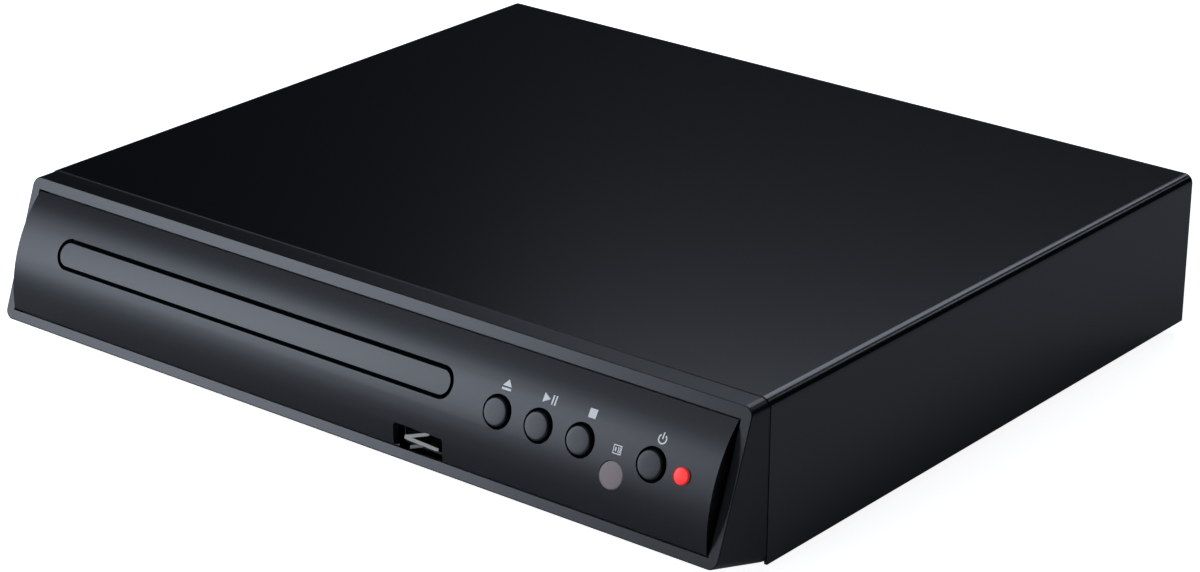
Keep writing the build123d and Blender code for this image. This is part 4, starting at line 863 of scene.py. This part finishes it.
def threaded_rod(foot, tip):
    """A threaded rod from foot to tip: radius = root + (crest - root) * wave^2 * fade.

    The wave is 0.5 + 0.5 * cos(full turn * distance / pitch - angle). The fade rises from 0 to 1
    over the first two pitches and falls again over the last two.
    """
    length = float(np.linalg.norm(tip - foot))
    axis = (tip - foot) / length
    side = np.cross(axis, RIGHT)
    rows = int(length / THREAD_PITCH * PITCH_ROWS) + 1
    angles = np.linspace(0, 2 * pi, THREAD_SEGMENTS, endpoint=False)
    s, a = np.meshgrid(np.linspace(0, length, rows), angles, indexing="ij")
    wave = 0.5 + 0.5 * np.cos(2 * pi * s / THREAD_PITCH - a)
    fade = np.clip(np.minimum(s, length - s) / (2 * THREAD_PITCH), 0, 1)
    radius = THREAD_ROOT + (THREAD_CREST - THREAD_ROOT) * wave**2 * fade
    radius[0], radius[-1] = 0, 0
    s[1], s[-2] = 0, length
    points = foot + s[..., None] * axis + (radius * np.cos(a))[..., None] * RIGHT
    points = points + (radius * np.sin(a))[..., None] * side
    return points.reshape(-1, 3), grid_faces(rows, THREAD_SEGMENTS, wrap=True)


class PLAYER_OT_sled(bpy.types.Operator):
    """Finish the lift frame, the sled and the pickup, and cut the lead screw's thread"""

    bl_idname = "player.sled"
    bl_label = "Sled and pickup"

    def execute(self, context):
        dress(moulded_black(), "lift_frame", "optical_pickup", "turntable")
        dress(soft_rubber(), "damper_grommets")
        dress(zinc_steel(), "sled_plate", "spindle_motor", "feed_motor")
        dress(bright_steel(), "guide_rods")
        points, quads = threaded_rod(*rod_ends("lead_screw"))
        body, slot = BODY_OF_NODE["lead_screw"], SLOT_OF_NODE["lead_screw"]
        thread = add_piece("lead_screw_thread", points, quads, bright_steel(), body)
        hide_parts("lead_screw")
        dress(foot_rubber(), "turntable_pad")
        dress(lens_glass(), "pickup_lens")
        dress(acetal(), "feed_nut")
        return {"FINISHED"}


# ---- Electronics ----------------------------------------------------------------------------

CAPACITORS = ("main_capacitors", "mains_capacitor", "output_capacitors")
CAN_TOP_SHARE, CAN_TOP_HEIGHT = 0.76, 0.00008  # the top's share of the can's radius, and its height


def can_top(can):
    """Top of one capacitor over its CAD solid; its cross stands for the grooves of the vent."""
    low, high = can.min(0), can.max(0)
    radius = (high[0] - low[0]) / 2 * CAN_TOP_SHARE
    middle = [(low[0] + high[0]) / 2, (low[1] + high[1]) / 2, high[2]]
    return screw_head(middle, UP, RIGHT, radius, CAN_TOP_HEIGHT)


class PLAYER_OT_boards(bpy.types.Operator):
    """Finish the boards and what they carry"""

    bl_idname = "player.boards"
    bl_label = "Boards"

    def execute(self, context):
        dress(board_laminate(), "main_board", "power_board")
        dress(moulded_black(), "processor", "memory_chips")
        dress(capacitor_sleeve(), *CAPACITORS)
        for node in CAPACITORS:
            points, quads = joined([can_top(can) for can in solids_of(node)])
            add_piece(f"{node}_tops", points, quads, aluminium_top(), "housing")
        dress(winding_tape(), "transformer")
        return {"FINISHED"}


JACK_TINTS = ((0.75, 0.5, 0.03), (0.7, 0.7, 0.68), (0.6, 0.02, 0.015), (0.85, 0.22, 0.015))
JACK_BORE, JACK_CHAMFER, JACK_EDGE, JACK_SLIP = 0.0017, 0.0004, 0.0002, 0.00001


def jack_ring(solid):
    """Turned ring of one phono jack, on the line and reach of its CAD solid."""
    low, high = solid.min(0), solid.max(0)
    near = [(low[0] + high[0]) / 2, low[1], (low[2] + high[2]) / 2]
    outer, reach = (high[0] - low[0]) / 2 - JACK_SLIP, high[1] - low[1]
    outline = [(JACK_BORE, 0), (outer, 0), (outer, reach), (JACK_BORE + JACK_CHAMFER, reach)]
    outline += [(JACK_BORE, reach - JACK_CHAMFER), (JACK_BORE, 0)]
    return turned(rounded_profile(outline, JACK_EDGE), near, BACK, RIGHT)


class PLAYER_OT_sockets(bpy.types.Operator):
    """Finish the sockets on the back, and turn the rings of the phono jacks"""

    bl_idname = "player.sockets"
    bl_label = "Sockets"

    def execute(self, context):
        dress(moulded_black(), "jack_block", "mains_inlet")
        dress(bright_steel(), "jack_sleeves", "inlet_pins", "video_socket")
        rings = sorted(solids_of("jack_inserts"), key=lambda solid: -solid[:, 0].mean())
        for number, (ring, tint) in enumerate(zip(rings, JACK_TINTS), start=1):
            points, quads = jack_ring(ring)
            material = jack_colour(f"jack_colour_{number}", tint)
            insert = add_piece(f"jack_insert_{number}", points, quads, material, "housing")
            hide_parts("jack_inserts")
        return {"FINISHED"}


# ---- Stage ----------------------------------------------------------------------------------

FLOOR_HALF = 40
FLOOR_ROUGHNESS, FLOOR_SPECULAR, FLOOR_GLOW = 0.9, 0.1, 0.9
LAMP_COLOUR = (0.79, 0.86, 1.0)
LAMP_TARGET = Vector((0, 0, 0.02))
SOFTBOXES = (  # name, azimuth, elevation, distance, size, power
    ("overhead_softbox", -38, 52, 1.5, (0.9, 0.7), 1.9),
    ("front_softbox", -38.5, 8, 0.85, (0.3, 0.7), 5.0),
    ("side_softbox", 100, 40, 1.6, (0.9, 0.9), 0.4),
    ("back_softbox", 199, 42, 1.8, (1.2, 0.7), 6.4),
    ("rim_softbox", 155, 33, 1.6, (0.2, 0.3), 0.45),
    ("fill_softbox", -4, 18, 1.5, (0.4, 0.6), 4.5),
)
SKY = ((0.4, (0.010, 0.012, 0.017, 1)), (0.85, (0.12, 0.135, 0.165, 1)))  # place on the ramp, colour
SENSOR_WIDTH = 36.0
NEAR_CLIP, FAR_CLIP = 0.02, 60


def outward(azimuth, elevation):
    """Unit vector from the player to a lamp or the camera; azimuth 0 is in front, 90 to the right."""
    a, e = radians(azimuth), radians(elevation)
    return Vector((sin(a) * cos(e), -cos(a) * cos(e), sin(e)))


def floor_material(base):
    """Plain floor that glows a little to the camera alone, so that it shows nearly white."""
    made = bpy.data.materials.new("floor_paper")
    made.use_nodes = True
    nodes, links = made.node_tree.nodes, made.node_tree.links
    shader = nodes["Principled BSDF"]
    shader.inputs["Base Color"].default_value = (*base, 1.0)
    shader.inputs["Roughness"].default_value = FLOOR_ROUGHNESS
    shader.inputs["Specular IOR Level"].default_value = FLOOR_SPECULAR
    glow = nodes.new("ShaderNodeEmission")
    glow.inputs["Color"].default_value = (1, 1, 1, 1)
    glow.inputs["Strength"].default_value = FLOOR_GLOW
    rays = nodes.new("ShaderNodeLightPath")
    added = nodes.new("ShaderNodeAddShader")
    mixed = nodes.new("ShaderNodeMixShader")
    links.new(shader.outputs[0], added.inputs[0])
    links.new(glow.outputs[0], added.inputs[1])
    links.new(rays.outputs["Is Camera Ray"], mixed.inputs["Fac"])
    links.new(shader.outputs[0], mixed.inputs[1])
    links.new(added.outputs[0], mixed.inputs[2])
    links.new(mixed.outputs[0], nodes["Material Output"].inputs["Surface"])
    return made


def lay_floor(base):
    """The floor, a wide square at the height of the feet."""
    half = FLOOR_HALF
    mesh = bpy.data.meshes.new("floor")
    corners = [(-half, -half, 0), (half, -half, 0), (half, half, 0), (-half, half, 0)]
    mesh.from_pydata(corners, [], [(0, 1, 2, 3)])
    mesh.materials.append(floor_material(base))
    floor = bpy.data.objects.new("floor", mesh)
    bpy.context.scene.collection.objects.link(floor)


def softbox(name, azimuth, elevation, distance, size, power):
    """A rectangular lamp that looks at the player."""
    back = outward(azimuth, elevation)
    data = bpy.data.lights.new(name, "AREA")
    data.shape = "RECTANGLE"
    data.size, data.size_y = size
    data.energy = power
    data.color = LAMP_COLOUR
    lamp = bpy.data.objects.new(name, data)
    bpy.context.scene.collection.objects.link(lamp)
    lamp.location = LAMP_TARGET + back * distance
    lamp.rotation_mode = "QUATERNION"
    lamp.rotation_quaternion = (-back).to_track_quat("-Z", "Y")


def set_world():
    """Plain grey surroundings, paler overhead than at the horizon."""
    world = bpy.data.worlds.new("studio")
    bpy.context.scene.world = world
    world.use_nodes = True
    nodes, links = world.node_tree.nodes, world.node_tree.links
    place = nodes.new("ShaderNodeTexCoord")
    split = nodes.new("ShaderNodeSeparateXYZ")
    ramp = nodes.new("ShaderNodeValToRGB")
    for element, (position, tone) in zip(ramp.color_ramp.elements, SKY):
        element.position = position
        element.color = tone
    links.new(place.outputs["Generated"], split.inputs[0])
    links.new(split.outputs["Z"], ramp.inputs["Fac"])
    links.new(ramp.outputs["Color"], nodes["Background"].inputs["Color"])
    nodes["Background"].inputs["Strength"].default_value = 1.0


def place_camera(stage):
    """The camera where the photograph was taken from, turned and rolled as it was."""
    data = bpy.data.cameras.new("camera")
    data.lens, data.sensor_width = stage.lens, SENSOR_WIDTH
    data.clip_start, data.clip_end = NEAR_CLIP, FAR_CLIP
    camera = bpy.data.objects.new("camera", data)
    bpy.context.scene.collection.objects.link(camera)
    back, roll = outward(stage.azimuth, stage.elevation), radians(stage.roll)
    right = Vector((0, 0, 1)).cross(back).normalized()
    up = back.cross(right)
    right, up = right * cos(roll) + up * sin(roll), up * cos(roll) - right * sin(roll)
    turn = Matrix((right, up, back)).transposed().to_4x4()
    camera.matrix_world = Matrix.Translation(stage.camera_place) @ turn
    bpy.context.scene.camera = camera


class PLAYER_OT_stage(bpy.types.Operator):
    """Lay the floor and set the lights and the camera"""

    bl_idname = "player.stage"
    bl_label = "Stage"

    def execute(self, context):
        stage = context.scene.player_stage
        lay_floor(stage.floor)
        for box in SOFTBOXES:
            softbox(*box)
        set_world()
        place_camera(stage)
        context.scene.view_settings.view_transform = "Standard"
        return {"FINISHED"}


# ---- Add-on ---------------------------------------------------------------------------------

OPERATORS = (
    PLAYER_OT_housing,
    PLAYER_OT_front,
    PLAYER_OT_buttons,
    PLAYER_OT_marks,
    PLAYER_OT_port,
    PLAYER_OT_loader,
    PLAYER_OT_sled,
    PLAYER_OT_boards,
    PLAYER_OT_sockets,
    PLAYER_OT_screws,
    PLAYER_OT_stage,
)


class PLAYER_PT_panel(bpy.types.Panel):
    """Lists the pieces of the disc player."""

    bl_idname = "PLAYER_PT_panel"
    bl_label = "Disc player"
    bl_space_type = "VIEW_3D"
    bl_region_type = "UI"
    bl_category = "Disc player"

    def draw(self, context):
        for operator in OPERATORS:
            self.layout.operator(operator.bl_idname)
        scene = context.scene
        for group in (scene.player_finish, scene.player_fascia, scene.player_stage):
            for key in group.bl_rna.properties.keys():
                if key not in ("rna_type", "name"):
                    self.layout.prop(group, key)


CLASSES = (PLAYER_PG_finish, PLAYER_PG_fascia, PLAYER_PG_stage, *OPERATORS, PLAYER_PT_panel)


def register():
    """Adds the add-on's classes and settings to Blender."""
    for made in CLASSES:
        bpy.utils.register_class(made)
    bpy.types.Scene.player_finish = bpy.props.PointerProperty(type=PLAYER_PG_finish)
    bpy.types.Scene.player_fascia = bpy.props.PointerProperty(type=PLAYER_PG_fascia)
    bpy.types.Scene.player_stage = bpy.props.PointerProperty(type=PLAYER_PG_stage)


def unregister():
    """Takes the settings and the classes out again."""
    del bpy.types.Scene.player_stage
    del bpy.types.Scene.player_fascia
    del bpy.types.Scene.player_finish
    for made in reversed(CLASSES):
        bpy.utils.unregister_class(made)


def main():
    """Dresses the player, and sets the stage."""
    register()
    bpy.ops.player.housing()
    bpy.ops.player.front()
    bpy.ops.player.buttons()
    bpy.ops.player.marks()
    bpy.ops.player.port()
    bpy.ops.player.loader()
    bpy.ops.player.sled()
    bpy.ops.player.boards()
    bpy.ops.player.sockets()
    bpy.ops.player.screws()
    bpy.ops.player.stage()


if __name__ == "__main__":
    main()
